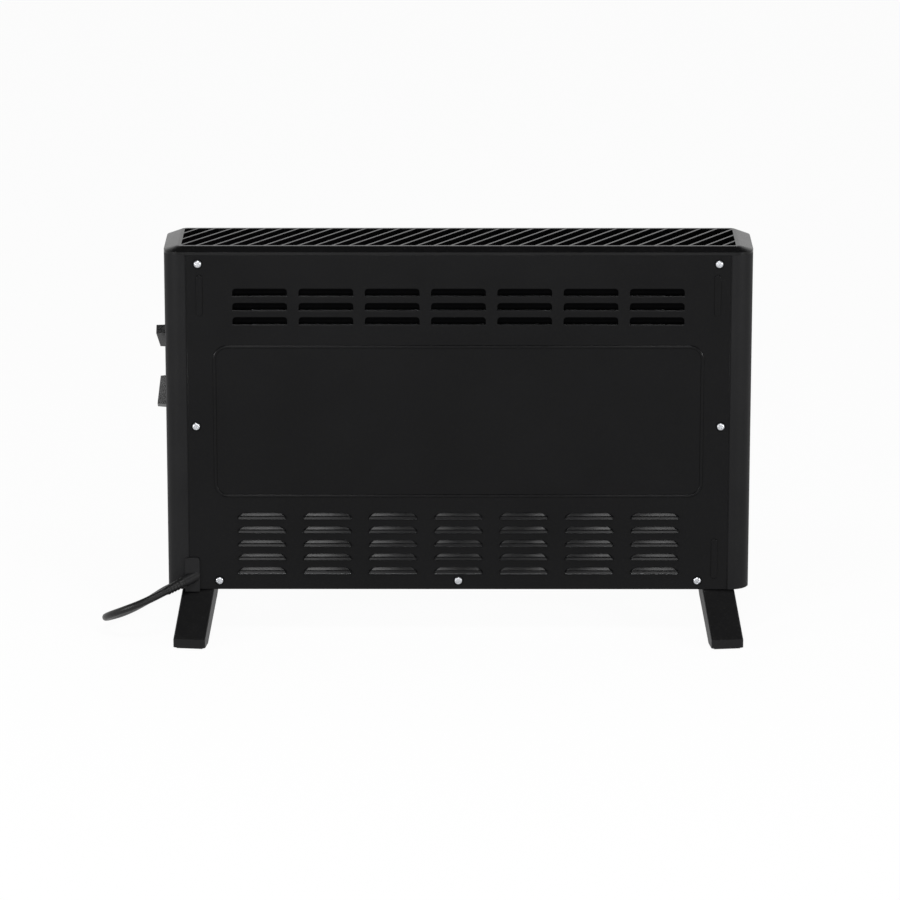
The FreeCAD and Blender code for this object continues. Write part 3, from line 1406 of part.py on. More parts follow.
doc.recompute()
for item in doc.Objects:
    if "Invalid" in item.State or "Error" in item.State:
        raise RuntimeError(f"{item.Name} failed: {item.State}")
for item in nodes:
    if item.Shape.isNull() or not item.Shape.isValid():
        raise RuntimeError(f"{item.Label} has no valid shape")
os.makedirs("parts", exist_ok=True)
for item in nodes:
    item.Shape.exportStep(f"parts/{item.Label}.step")
print(f"{len(nodes)} nodes written")
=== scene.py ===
import bpy
import json
import math
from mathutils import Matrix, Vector


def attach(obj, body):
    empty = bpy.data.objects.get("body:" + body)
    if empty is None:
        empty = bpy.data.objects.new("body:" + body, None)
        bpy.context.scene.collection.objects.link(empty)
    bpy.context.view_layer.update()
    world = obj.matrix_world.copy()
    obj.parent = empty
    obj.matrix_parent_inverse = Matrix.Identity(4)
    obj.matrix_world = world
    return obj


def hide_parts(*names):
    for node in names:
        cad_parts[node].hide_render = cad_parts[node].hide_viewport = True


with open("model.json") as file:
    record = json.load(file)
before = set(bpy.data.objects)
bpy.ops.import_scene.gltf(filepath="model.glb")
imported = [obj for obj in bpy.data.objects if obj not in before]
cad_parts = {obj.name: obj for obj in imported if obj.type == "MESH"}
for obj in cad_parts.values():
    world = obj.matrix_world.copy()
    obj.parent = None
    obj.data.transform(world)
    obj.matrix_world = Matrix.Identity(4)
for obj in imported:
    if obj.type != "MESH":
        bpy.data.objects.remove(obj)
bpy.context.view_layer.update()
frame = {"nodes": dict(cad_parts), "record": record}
cad = frame["nodes"]
scene = bpy.context.scene
scene.view_settings.view_transform = "Standard"
mm = 0.001
middleShift = -4.7  # the case's middle, from the middle of the whole box
print("frame loaded:", len(cad), "nodes")

# camera: long lens behind the heater, a little above it
cameraSet = {
    "lens": 200,
    "sensor": 36,
    "target": (0.0034, 0.0, 0.1712),
    "distance": 4.832,
    "azimuth": 180.1,
    "elevation": 15.2,
    "clipEnd": 60,
}
bpy.ops.object.camera_add()
camera = bpy.context.object
camera.name = "rearCamera"
camera.data.lens = cameraSet["lens"]
camera.data.sensor_width = cameraSet["sensor"]
camera.data.sensor_fit = "HORIZONTAL"
camera.data.clip_end = cameraSet["clipEnd"]
turn = math.radians(cameraSet["azimuth"])
lift = math.radians(cameraSet["elevation"])
away = Vector((math.sin(turn) * math.cos(lift), -math.cos(turn) * math.cos(lift), math.sin(lift)))
camera.location = Vector(cameraSet["target"]) + away * cameraSet["distance"]
camera.rotation_euler = (-away).to_track_quat("-Z", "Y").to_euler()
scene.camera = camera
print("camera set")

# mains lead: out of the gland, round the end of the case, coiled on the floor in front
leadSet = {
    "diameter": 7.2,
    "length": 1.52,
    "route": [  # same points as the solid lead, in case millimetres
        (281.2, 61.46, 46.98), (299.37, 71.54, 39.76), (322, 68.5, 30), (338.5, 52.5, 19.5),
        (342.7, 30, 10.5), (325.3, -6, 5), (306.4, -47, 4), (287, -98, 4), (267, -116.5, 4),
        (237, -124, 4.2), (193.5, -125, 5.5), (159.2, -125, 5.5),
    ],
    "coilX": 152,
    "halfTurns": [  # middle y, radius, height at its start, height at its end
        (-171, 46, 5.5, 5.5), (-174.85, 42.15, 5.5, 5.5), (-171, 38.3, 5.5, 5.5),
        (-174.85, 34.45, 5.5, 5.5), (-171, 30.6, 5.5, 13.2), (-167.15, 34.45, 13.2, 13.2),
        (-171, 38.3, 13.2, 13.2), (-167.15, 42.15, 13.2, 13.2), (-171, 46, 13.2, 13.2),
    ],
    "pointsPerHalf": 8,
    "tail": [(159.2, -217, 13.2), (175.2, -217, 13.2), (191.08, -217, 15.18)],
    "order": 3, "stepsAlong": 5, "stepsRound": 4,
}


def leadPoints(s):
    points = list(s["route"])
    count = s["pointsPerHalf"]
    ease = math.cos(math.pi / count / 2)  # the spline runs this share inside its points
    for k, (midY, radius, low, high) in enumerate(s["halfTurns"]):
        for i in range(count):
            t = (i + 0.5) / count
            a = math.pi * (0.5 + k + t)
            r = radius / ease
            points.append((s["coilX"] + r * math.cos(a), midY + r * math.sin(a), low + (high - low) * t))
    return points + s["tail"]


curve = bpy.data.curves.new("mainsLead", "CURVE")
curve.dimensions = "3D"
spline = curve.splines.new("NURBS")
places = leadPoints(leadSet)
spline.points.add(len(places) - 1)
for point, (x, y, z) in zip(spline.points, places):
    point.co = ((x + middleShift) * mm, y * mm, z * mm, 1)
    point.radius = leadSet["diameter"] / 2 * mm  # a curve's box grows by its points' radius
spline.order_u = leadSet["order"]
spline.use_endpoint_u = True
spline.resolution_u = leadSet["stepsAlong"]
curve.bevel_depth = 1
curve.bevel_resolution = leadSet["stepsRound"]
curve.use_fill_caps = True
mainsLead = bpy.data.objects.new("mainsLead", curve)
scene.collection.objects.link(mainsLead)
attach(mainsLead, "heater")
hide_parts("power_cord", "cord_coil", "cord_tail")
x, y, z = places[0]
(x + middleShift) * mm
y * mm
z * mm
print("lead laid")


class Wire:  # one output socket; sums on it add Math nodes
    def __init__(self, tree, out=None):
        self.tree = tree
        self.out = out

    def add(self, kind, settings=None, inputs=None, output=0):
        node = self.tree.nodes.new(kind)
        for name, value in (settings or {}).items():
            setattr(node, name, value)
        for name, value in (inputs or {}).items():
            if isinstance(value, Wire):
                self.tree.links.new(value.out, node.inputs[name])
            else:
                node.inputs[name].default_value = value
        return Wire(self.tree, node.outputs[output] if node.outputs else None)

    def sum(self, operation, first, second):
        return self.add("ShaderNodeMath", {"operation": operation}, {0: first, 1: second})

    def __add__(self, other):
        return self.sum("ADD", self, other)

    def __sub__(self, other):
        return self.sum("SUBTRACT", self, other)

    def __mul__(self, other):
        return self.sum("MULTIPLY", self, other)

    __radd__ = __add__

    def clip(self, low, high):
        return self.add("ShaderNodeMapRange", {"clamp": True}, {
            "Value": self, "From Min": low, "From Max": high, "To Min": 0.0, "To Max": 1.0})

    def blend(self, first, second):  # colour between two, by this mask
        return self.add("ShaderNodeMix", {"data_type": "RGBA"}, {0: self, 6: first, 7: second}, 2)


def newTree(name):
    material = bpy.data.materials.new(name)
    material.use_nodes = True
    material.node_tree.nodes.clear()
    return material, Wire(material.node_tree)


def shade(rgb, gain):
    return tuple(min(1, c * gain) for c in rgb) + (1,)


wear = {  # what all finishes share
    "cloud": (4.0, 0.55), "cloudRange": (0.3, 0.7),  # detail, roughness; the scale is the finish's own
    "grain": (2.0, 0.5),
    "speck": (420.0, 3.0, 0.7), "speckRange": (0.52, 0.72),  # scale, detail, roughness
    "rub": (34.0, 6.0, 0.68), "rubRange": (0.56, 0.74),
    "upRange": (0.35, 1.0), "sideDust": 0.3, "dustColour": (0.33, 0.32, 0.30, 1), "dustDulling": 0.5,
}


def noise(wire, place, scale, detail, roughness):
    return wire.add("ShaderNodeTexNoise", {}, {
        "Vector": place, "Scale": scale, "Detail": detail, "Roughness": roughness})


# one recipe for every finish: cloudy tone, settled dust, rubbed spots, uneven gloss, fine relief, and
# where a finish asks for it, painted shade in recesses
def finish(name, s):
    material, wire = newTree(name)
    place = wire.add("ShaderNodeTexCoord", output=3)
    stretch = s.get("stretch", (1, 1, 1))
    grainPlace = wire.add("ShaderNodeMapping", {}, {"Vector": place, "Scale": stretch})
    cloud = noise(wire, place, s["cloudScale"], *wear["cloud"])
    grain = noise(wire, grainPlace, s["grainScale"], *wear["grain"])
    tone = cloud.clip(*wear["cloudRange"]).blend(shade(s["colour"], 1 - s["tone"]),
                                                 shade(s["colour"], 1 + s["tone"]))
    normal = wire.add("ShaderNodeNewGeometry", output=1)
    upward = wire.add("ShaderNodeSeparateXYZ", {}, {"Vector": normal}, 2).clip(*wear["upRange"])
    speck = noise(wire, place, *wear["speck"]).clip(*wear["speckRange"])
    side = wear["sideDust"]
    dust = (upward * (1 - side) + side) * speck * s["dust"]
    tone = dust.blend(tone, wear["dustColour"])
    rub = noise(wire, place, *wear["rub"]).clip(*wear["rubRange"])
    gloss = s["roughness"] + (cloud - 0.5) * s["glossSpread"] + (grain - 0.5) * s["glossGrain"] \
        - rub * s["rub"] + dust * wear["dustDulling"]
    metal = s.get("metal", 0.0)
    if "recess" in s:  # painted shade: behind the rear face the paint turns metallic, so its near-black colour becomes the reflectance; the louvre recesses lose their reflection and render dark
        start, end, stop, dulling = s["recess"]
        depth = wire.add("ShaderNodeSeparateXYZ", {}, {"Vector": place}, 1)
        # painted shade mask: full metal behind the rear face, dark and without reflection
        metal = depth.clip(start * mm, end * mm) * depth.clip(0.0, stop * mm)
        gloss = gloss + metal * dulling
    bump = wire.add("ShaderNodeBump", {}, {
        "Strength": s["bump"], "Distance": s["bumpDepth"] * mm, "Height": grain})
    shader = wire.add("ShaderNodeBsdfPrincipled", {}, {
        "Base Color": tone, "Roughness": gloss, "Metallic": metal,
        "Specular IOR Level": s.get("specular", 0.5), "Normal": bump})
    wire.add("ShaderNodeOutputMaterial", {}, {"Surface": shader})
    return material


finishes = {
    "panel_paint": {  # semi-gloss powder coat, faint orange peel
        "colour": (0.0036, 0.0036, 0.0039), "tone": 0.16, "cloudScale": 9, "grainScale": 620,
        "roughness": 0.21, "glossSpread": 0.08, "glossGrain": 0.05, "rub": 0.04, "dust": 0.02,
        "bump": 0.04, "bumpDepth": 0.15, "specular": 0.10,
        "recess": (47.1, 46.2, 20, 0.2)},  # painted recess shade: where it starts, is full and stops; added roughness
    "case_plastic": {  # satin moulding
        "colour": (0.0115, 0.0115, 0.0120), "tone": 0.14, "cloudScale": 12, "grainScale": 950,
        "roughness": 0.46, "glossSpread": 0.08, "glossGrain": 0.06, "rub": 0.05, "dust": 0.02,
        "bump": 0.08, "bumpDepth": 0.2, "specular": 0.05},
    "grille_plastic": {
        "colour": (0.0034, 0.0034, 0.0037), "tone": 0.14, "cloudScale": 14, "grainScale": 950,
        "roughness": 0.24, "glossSpread": 0.08, "glossGrain": 0.06, "rub": 0.05, "dust": 0.02,
        "bump": 0.06, "bumpDepth": 0.2, "specular": 0.18},
    "foot_plastic": {
        "colour": (0.0048, 0.0048, 0.0051), "tone": 0.16, "cloudScale": 16, "grainScale": 800,
        "roughness": 0.45, "glossSpread": 0.08, "glossGrain": 0.07, "rub": 0.06, "dust": 0.02,
        "bump": 0.10, "bumpDepth": 0.2, "specular": 0.16},
    "knob_plastic": {
        "colour": (0.0075, 0.0075, 0.0080), "tone": 0.14, "cloudScale": 30, "grainScale": 900,
        "roughness": 0.28, "glossSpread": 0.08, "glossGrain": 0.05, "rub": 0.08, "dust": 0.02,
        "bump": 0.08, "bumpDepth": 0.2, "specular": 0.30},
    "gland_plastic": {
        "colour": (0.0075, 0.0075, 0.0080), "tone": 0.14, "cloudScale": 40, "grainScale": 1100,
        "roughness": 0.42, "glossSpread": 0.08, "glossGrain": 0.06, "rub": 0.05, "dust": 0.02,
        "bump": 0.12, "bumpDepth": 0.2, "specular": 0.14},
    "cord_pvc": {
        "colour": (0.0060, 0.0060, 0.0063), "tone": 0.18, "cloudScale": 45, "grainScale": 700,
        "roughness": 0.40, "glossSpread": 0.10, "glossGrain": 0.08, "rub": 0.05, "dust": 0.05,
        "bump": 0.15, "bumpDepth": 0.2, "specular": 0.24},
    "plug_pvc": {
        "colour": (0.016, 0.016, 0.017), "tone": 0.16, "cloudScale": 40, "grainScale": 900,
        "roughness": 0.48, "glossSpread": 0.08, "glossGrain": 0.08, "rub": 0.05, "dust": 0.08,
        "bump": 0.18, "bumpDepth": 0.2, "specular": 0.40},
    "tie_plastic": {
        "colour": (0.045, 0.045, 0.047), "tone": 0.12, "cloudScale": 60, "grainScale": 1200,
        "roughness": 0.42, "glossSpread": 0.08, "glossGrain": 0.06, "rub": 0.04, "dust": 0.06,
        "bump": 0.12, "bumpDepth": 0.15, "specular": 0.40},
    "wire_sleeve": {  # woven glass sleeve
        "colour": (0.55, 0.53, 0.48), "tone": 0.10, "cloudScale": 60, "grainScale": 1500,
        "roughness": 0.72, "glossSpread": 0.06, "glossGrain": 0.12, "rub": 0.0, "dust": 0.10,
        "bump": 0.35, "bumpDepth": 0.3, "specular": 0.30},
    "bright_zinc": {
        "colour": (0.52, 0.53, 0.55), "tone": 0.08, "cloudScale": 180, "grainScale": 1600,
        "roughness": 0.30, "glossSpread": 0.10, "glossGrain": 0.10, "rub": 0.06, "dust": 0.05,
        "bump": 0.10, "bumpDepth": 0.1, "metal": 1.0},
    "galvanised_steel": {
        "colour": (0.55, 0.56, 0.57), "tone": 0.14, "cloudScale": 75, "grainScale": 380,
        "roughness": 0.42, "glossSpread": 0.16, "glossGrain": 0.10, "rub": 0.05, "dust": 0.10,
        "bump": 0.06, "bumpDepth": 0.1, "metal": 1.0},
    "fin_aluminium": {
        "colour": (0.62, 0.62, 0.63), "tone": 0.08, "cloudScale": 30, "grainScale": 260,
        "roughness": 0.38, "glossSpread": 0.10, "glossGrain": 0.12, "rub": 0.05, "dust": 0.12,
        "bump": 0.10, "bumpDepth": 0.1, "metal": 1.0, "stretch": (0.12, 1, 1)},
    "white_ceramic": {
        "colour": (0.80, 0.79, 0.75), "tone": 0.06, "cloudScale": 50, "grainScale": 900,
        "roughness": 0.62, "glossSpread": 0.08, "glossGrain": 0.08, "rub": 0.0, "dust": 0.15,
        "bump": 0.22, "bumpDepth": 0.2},
    "terminal_brass": {
        "colour": (0.78, 0.72, 0.56), "tone": 0.10, "cloudScale": 90, "grainScale": 900,
        "roughness": 0.30, "glossSpread": 0.10, "glossGrain": 0.10, "rub": 0.05, "dust": 0.04,
        "bump": 0.08, "bumpDepth": 0.1, "metal": 1.0, "stretch": (0.2, 1, 1)},
    "switch_plastic": {
        "colour": (0.66, 0.65, 0.62), "tone": 0.06, "cloudScale": 40, "grainScale": 900,
        "roughness": 0.48, "glossSpread": 0.08, "glossGrain": 0.06, "rub": 0.04, "dust": 0.12,
        "bump": 0.12, "bumpDepth": 0.2},
    "pad_rubber": {
        "colour": (0.030, 0.030, 0.031), "tone": 0.16, "cloudScale": 60, "grainScale": 1000,
        "roughness": 0.70, "glossSpread": 0.08, "glossGrain": 0.08, "rub": 0.0, "dust": 0.20,
        "bump": 0.25, "bumpDepth": 0.3, "specular": 0.30},
}
looks = {name: finish(name, s) for name, s in finishes.items()}
slotOf = {part["node"]: part["material_slot"] for part in frame["record"]["subparts"]}
for node, piece in cad.items():
    piece.data.materials.clear()
    piece.data.materials.append(looks[slotOf[node]])
mainsLead.data.materials.append(looks["cord_pvc"])
print("finishes made:", len(looks))

mergeGap = 0.02 * mm  # points nearer than this become one
cutGap = 0.001 * mm
near = 0.1 * mm  # slack when points are picked by place


def selectOnly(piece):
    bpy.ops.object.select_all(action="DESELECT")
    piece.select_set(True)
    bpy.context.view_layer.objects.active = piece


def pick(piece, test, kind="VERT"):  # leaves edit mode on, with what passes the test selected
    bpy.ops.object.mode_set(mode="EDIT")
    bpy.ops.mesh.select_mode(type=kind)
    bpy.ops.mesh.select_all(action="DESELECT")
    bpy.ops.object.mode_set(mode="OBJECT")
    data = piece.data
    if kind == "VERT":
        for v in data.vertices:
            v.select = test(v.co)
    elif kind == "EDGE":
        for e in data.edges:
            e.select = test(*(data.vertices[i].co for i in e.vertices))
    else:
        for p in data.polygons:
            p.select = test(p.center, p.normal)
    bpy.ops.object.mode_set(mode="EDIT")


def applied(piece, kind, **settings):
    selectOnly(piece)
    modifier = piece.modifiers.new(kind.lower(), kind)
    for name, value in settings.items():
        setattr(modifier, name, value)
    bpy.ops.object.modifier_apply(modifier=modifier.name)


def cleaned(piece, angle):
    selectOnly(piece)
    bpy.ops.object.transform_apply(location=True, rotation=True, scale=True)
    bpy.ops.object.mode_set(mode="EDIT")
    bpy.ops.mesh.select_all(action="SELECT")
    bpy.ops.mesh.remove_doubles(threshold=mergeGap)
    bpy.ops.mesh.normals_make_consistent(inside=False)
    bpy.ops.object.mode_set(mode="OBJECT")
    bpy.ops.object.shade_smooth_by_angle(angle=math.radians(angle))
    return piece


def slab(low, high):  # a cube between two corners, in millimetres
    bpy.ops.object.select_all(action="DESELECT")
    bpy.ops.mesh.primitive_cube_add(size=1, location=[(a + b) / 2 * mm for a, b in zip(low, high)])
    piece = bpy.context.object
    piece.scale = [(b - a) * mm for a, b in zip(low, high)]
    bpy.ops.object.transform_apply(location=True, rotation=True, scale=True)
    return piece


def upright(width, height):  # a plane facing along Y, its middle at the origin
    bpy.ops.object.select_all(action="DESELECT")
    bpy.ops.mesh.primitive_plane_add(size=1, rotation=(-math.pi / 2, 0, 0))
    piece = bpy.context.object
    piece.scale = (width * mm, height * mm, 1)
    bpy.ops.object.transform_apply(location=True, rotation=True, scale=True)


def pin(radius, depth, sides=32):  # a cylinder along Y, its middle at the origin
    bpy.ops.object.select_all(action="DESELECT")
    bpy.ops.mesh.primitive_cylinder_add(
        vertices=sides, radius=radius * mm, depth=depth * mm, rotation=(math.pi / 2, 0, 0))
    bpy.ops.object.transform_apply(location=True, rotation=True, scale=True)
    return bpy.context.object


def joined(pieces, name):
    bpy.ops.object.select_all(action="DESELECT")
    for piece in pieces:
        piece.select_set(True)
    bpy.context.view_layer.objects.active = pieces[0]
    bpy.ops.object.join()
    pieces[0].name = name
    return pieces[0]


def copiesOf(piece, places):  # one copy at each place, own mesh, then the first is dropped
    made = []
    for place in places:
        one = bpy.data.objects.new(piece.name, piece.data.copy())
        scene.collection.objects.link(one)
        one.location = [(v + shift) * mm for v, shift in zip(place, (middleShift, 0, 0))]
        made.append(one)
    bpy.data.objects.remove(piece)
    for one in made:
        selectOnly(one)
        bpy.ops.object.transform_apply(location=True, rotation=True, scale=True)
    return made


def cutAway(piece, tools):
    tool = joined(tools, "cutter")
    applied(piece, "BOOLEAN", operation="DIFFERENCE", solver="EXACT", object=tool)
    bpy.data.objects.remove(tool)


def trim(place, normal, **what):  # cuts the mesh in edit mode along a plane
    bpy.ops.mesh.select_all(action="SELECT")
    bpy.ops.mesh.bisect(plane_co=[v * mm for v in place], plane_no=normal, threshold=cutGap, **what)


def dressed(piece, name, node, body="heater"):  # names it, paints it, puts it in the node's place
    piece.name = name
    piece.data.name = name
    piece.data.materials.clear()
    piece.data.materials.append(looks[slotOf[node]])
    applied(piece, "WEIGHTED_NORMAL", mode="FACE_AREA", weight=100, keep_sharp=True)
    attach(piece, body)
    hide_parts(node)


# rear panel: pressed sheet, all sizes in case millimetres
panelSet = {
    "halfWidth": 258.3, "low": 45, "high": 375, "face": 47.5, "sheet": 0.8, "edge": 0.45,
    "columns": [-188.7, -125.8, -62.9, 0, 62.9, 125.8, 188.7],
    "upperRows": [339.4, 325.5, 311.6], "lowerRows": [63.8, 77.4, 91.0, 104.6, 118.2],
    "outHood": {  # bands: depth, height, tilt; ends: half length, height, slant, draft
        "low": -2.2, "sink": 0.1,
        "bands": [(0, 3.95, 40.5), (0.81, 3, 38.5), (2.08, 1.4, 32), (2.61, 0.55, 21),
                  (2.9, -0.2, 12.2)],
        "ends": [(23.7, 0, 0, 0.26), (25.3, 0, 0, 1), (22.9, 0.2, 30, 0.26), (24.2, 0.95, 30, 1),
                 (19.8, 2.2, 60, 0.26)]},
    "inHood": {
        "low": -4.4, "sink": 0.3,
        "bands": [(0, 4.2, 35.7), (2.3, 1.0, 19.1), (3.2, -1.6, 8.1)],
        "ends": [(26.5, 0, 0, 0.26), (28.2, 0, 0, 1)]},
    "hoodSheet": 0.7,
    "hoodBlock": (30, 6, 9, 3),  # half length, depth, top, reach behind and below the hood
    "field": (234, 137, 287.5),  # half width, bottom, top
    "fieldCorner": 14, "beadWidth": 3.2, "beadRise": 1.25,
    "stubs": [(246, 336), (-246, 336), (-246, 76)],
    "stub": (6.2, 40, 0.4),  # width, length, root
    "stubRound": 0.48, "stubEdge": 0.9,  # end corners as a share of the width, eased upper edge
    "smooth": 50, "beadSmooth": 60,
    "cutReach": 6,
    "screws": [(247.2, 366.6), (-247.2, 366.6), (250.5, 207.5), (-250.5, 207.5),
               (230, 54), (0, 54), (-230, 54)],
    "upperSlot": (52, -4.2, 3.3, 3.3),  # length, bottom, top, corner
    "lowerSlot": (45, -3.5, -0.4),  # length, bottom, top
    "sill": (0.6, 1.5),  # depth and drop of the eased lower edge of an upper slot
    "dimple": (4.9, 0.65),  # radius, depth
    "outlet": (256, 57, 5.1),  # place across and up, radius
}


def louvreHood(s, hoodName, outward):  # cut from a block and hollowed, open below, its root on y = 0
    hoodSet = s[hoodName]
    low = hoodSet["low"]
    half, depth, top, reach = s["hoodBlock"]
    hood = slab((-half, -reach, low - reach), (half, depth, top))
    bpy.ops.object.mode_set(mode="EDIT")
    for y, z, tilt in hoodSet["bands"]:
        a = math.radians(tilt)
        trim((0, y, z), (0, math.cos(a), math.sin(a)), use_fill=True, clear_outer=True)
    for x, z, slant, draft in hoodSet["ends"]:
        a = math.radians(slant)
        for side in (1, -1):
            trim((side * x, 0, z), (side * math.cos(a), draft, math.sin(a)),
                 use_fill=True, clear_outer=True)
    trim((0, 0, 0), (0, 1, 0), clear_inner=True)
    trim((0, 0, low), (0, 0, 1), clear_inner=True)
    bpy.ops.object.mode_set(mode="OBJECT")
    applied(hood, "SOLIDIFY", thickness=s["hoodSheet"] * mm, offset=-1 if outward else 1)
    if not outward:
        hood.scale = (1, -1, 1)
    return cleaned(hood, s["smooth"])


def slotCutter(length, low, high, reach):
    return slab((-length / 2, -reach, low), (length / 2, reach, high))


def roundedSlot(length, low, high, corner, reach):  # a cutter, rounded above
    slot = slotCutter(length, low, high, reach)
    pick(slot, lambda a, b: abs(a.y - b.y) > mm and min(a.z, b.z) > 0, "EDGE")
    bpy.ops.mesh.bevel(offset=corner * mm, segments=5, affect="EDGES")
    bpy.ops.object.mode_set(mode="OBJECT")
    return slot


def sillCutter(length, low, depth, drop):  # a wedge that eases the lower edge of a slot
    wedge = slab((-length / 2, -depth, low - drop), (length / 2, depth, low + 1))
    pick(wedge, lambda v: v.y < 0 and v.z < low * mm)
    bpy.ops.transform.translate(value=(0, 0, drop * mm))
    bpy.ops.object.mode_set(mode="OBJECT")
    return wedge


def fieldBead(s):
    half, low, high = s["field"]
    inset = s["beadWidth"] / 2
    upright((half - inset) * 2, high - low - 2 * inset)
    bpy.ops.object.mode_set(mode="EDIT")
    bpy.ops.mesh.select_all(action="SELECT")
    bpy.ops.mesh.bevel(offset=(s["fieldCorner"] - inset) * mm, segments=10, affect="VERTICES")
    bpy.ops.mesh.select_all(action="SELECT")
    bpy.ops.mesh.delete(type="ONLY_FACE")
    bpy.ops.object.mode_set(mode="OBJECT")
    bpy.ops.object.convert(target="CURVE")
    ring = bpy.context.object
    ring.data.bevel_depth = inset * mm
    ring.data.bevel_resolution = 3
    bpy.ops.object.convert(target="MESH")
    ring = bpy.context.object
    ring.scale = (1, s["beadRise"] / inset, 1)
    ring.location = (middleShift * mm, s["face"] * mm, (low + high) / 2 * mm)
    return cleaned(ring, s["beadSmooth"])


def stubBead(s):  # a short raised bead, standing on y = 0 with its root below
    width, length, root = s["stub"]
    rise = s["beadRise"]
    stub = slab((-width / 2, -root, -length / 2), (width / 2, rise, length / 2))
    pick(stub, lambda a, b: abs(a.y - b.y) > mm, "EDGE")
    bpy.ops.mesh.bevel(offset=width * s["stubRound"] * mm, segments=6, affect="EDGES")
    pick(stub, lambda a, b: min(a.y, b.y) > rise * mm - near, "EDGE")
    bpy.ops.mesh.bevel(offset=s["stubEdge"] * mm, segments=3, affect="EDGES")
    bpy.ops.object.mode_set(mode="OBJECT")
    return cleaned(stub, s["beadSmooth"])


def rearPanel(s):
    face = s["face"]
    half = s["halfWidth"]
    reach = s["cutReach"]
    sheet = slab((middleShift - half, face - s["sheet"], s["low"]), (middleShift + half, face, s["high"]))
    pick(sheet, lambda a, b: min(a.y, b.y) > face * mm - near, "EDGE")
    bpy.ops.mesh.bevel(offset=s["edge"] * mm, segments=2, affect="EDGES")
    bpy.ops.object.mode_set(mode="OBJECT")
    upper = [(x, face, z) for x in s["columns"] for z in s["upperRows"]]
    lower = [(x, face, z) for x in s["columns"] for z in s["lowerRows"]]
    tools = copiesOf(roundedSlot(*s["upperSlot"], reach), upper)
    cutAway(sheet, copiesOf(sillCutter(*s["upperSlot"][:2], *s["sill"]), upper))
    tools += copiesOf(slotCutter(*s["lowerSlot"], reach), lower)
    radius, sink = s["dimple"]
    tools += copiesOf(pin(radius, 2 * sink), [(x, face, z) for x, z in s["screws"]])
    x, z, radius = s["outlet"]
    tools += copiesOf(pin(radius, reach), [(x, face, z)])
    cutAway(sheet, tools)
    outHood = louvreHood(s, "outHood", True)
    inHood = louvreHood(s, "inHood", False)
    parts = [sheet]
    parts += copiesOf(outHood, [(x, y - s["outHood"]["sink"], z) for x, y, z in lower])
    parts += copiesOf(inHood, [(x, y - s["inHood"]["sink"], z) for x, y, z in upper])
    parts.append(fieldBead(s))
    parts += copiesOf(stubBead(s), [(x, face, z) for x, z in s["stubs"]])
    panel = joined(parts, "rearPanelPressed")
    selectOnly(panel)
    bpy.ops.object.shade_smooth_by_angle(angle=math.radians(s["smooth"]))
    dressed(panel, "rearPanelPressed", "rear_panel")


rearPanel(panelSet)
print("rear panel pressed")


# screws: pan heads with a cross, on their shanks
screwSet = {
    "head": (3.7, 2.2), "crown": 1.4, "shank": (1.9, 8),
    "cross": (2.3, 0.85, 1.8),  # half length, half width, depth
    "firstTurn": 17, "nextTurn": 41, "smooth": 40,
}


def panHead(s):
    radius, height = s["head"]
    head = pin(radius, height)
    pick(head, lambda a, b: min(a.y, b.y) > height / 2 * mm - near, "EDGE")
    bpy.ops.mesh.bevel(offset=s["crown"] * mm, segments=4, affect="EDGES")
    pick(head, lambda c, n: n.y < -0.9, "FACE")
    bpy.ops.mesh.inset(thickness=(radius - s["shank"][0]) * mm, depth=0)
    bpy.ops.mesh.extrude_region_move(TRANSFORM_OT_translate={"value": (0, -s["shank"][1] * mm, 0)})
    bpy.ops.object.mode_set(mode="OBJECT")
    reach, slim, sink = s["cross"]
    for wide, tall in ((reach, slim), (slim, reach)):
        cutAway(head, [slab((-wide, height / 2 - sink, -tall), (wide, height, tall))])
    return cleaned(head, s["smooth"])


heads = copiesOf(panHead(screwSet), [(x, panelSet["face"] + screwSet["head"][1] / 2, z)
                                     for x, z in panelSet["screws"]])
for i, (head, (x, z)) in enumerate(zip(heads, panelSet["screws"])):  # no two crosses stand alike
    selectOnly(head)
    bpy.ops.object.mode_set(mode="EDIT")
    bpy.ops.mesh.select_all(action="SELECT")
    bpy.ops.transform.rotate(value=math.radians(screwSet["firstTurn"] + screwSet["nextTurn"] * i),
                             orient_axis="Y", center_override=((x + middleShift) * mm, 0, z * mm))
    bpy.ops.object.mode_set(mode="OBJECT")
dressed(joined(heads, "panelScrews"), "panelScrews", "rear_panel_screws")
print("screws set")


# moulded pieces: copies of the solids, merged, with eased edges
easeSet = {  # node: piece, ease in millimetres, body
    "top_grille": ("topFrameMoulded", 0.45, "heater"),
    "foot_right": ("footMouldedRight", 0.8, "heater"),
    "foot_left": ("footMouldedLeft", 0.8, "heater"),
    "thermostat_knob": ("thermostatKnobMoulded", 0.7, "thermostat"),
    "selector_knob": ("selectorKnobMoulded", 0.7, "selector"),
    "cord_gland": ("glandMoulded", 0.5, "heater"),
    "front_panel": ("frontPanelPressed", 0.35, "heater"),
}
easeRule = {"merge": 0.01, "flat": 0.5, "sharp": 28, "smooth": 35}  # millimetres, then degrees


def eased(node, name, width, body):
    piece = bpy.data.objects.new(name, cad[node].data.copy())
    scene.collection.objects.link(piece)
    selectOnly(piece)
    bpy.ops.object.mode_set(mode="EDIT")
    bpy.ops.mesh.select_all(action="SELECT")
    bpy.ops.mesh.remove_doubles(threshold=easeRule["merge"] * mm)
    bpy.ops.mesh.dissolve_limited(angle_limit=math.radians(easeRule["flat"]))
    bpy.ops.object.mode_set(mode="OBJECT")
    applied(piece, "BEVEL", width=width * mm, segments=2, limit_method="ANGLE",
            angle_limit=math.radians(easeRule["sharp"]), use_clamp_overlap=True)
    bpy.ops.object.shade_smooth_by_angle(angle=math.radians(easeRule["smooth"]))
    dressed(piece, name, node, body)


for node, (name, width, body) in easeSet.items():
    eased(node, name, width, body)
print("mouldings eased:", len(easeSet))

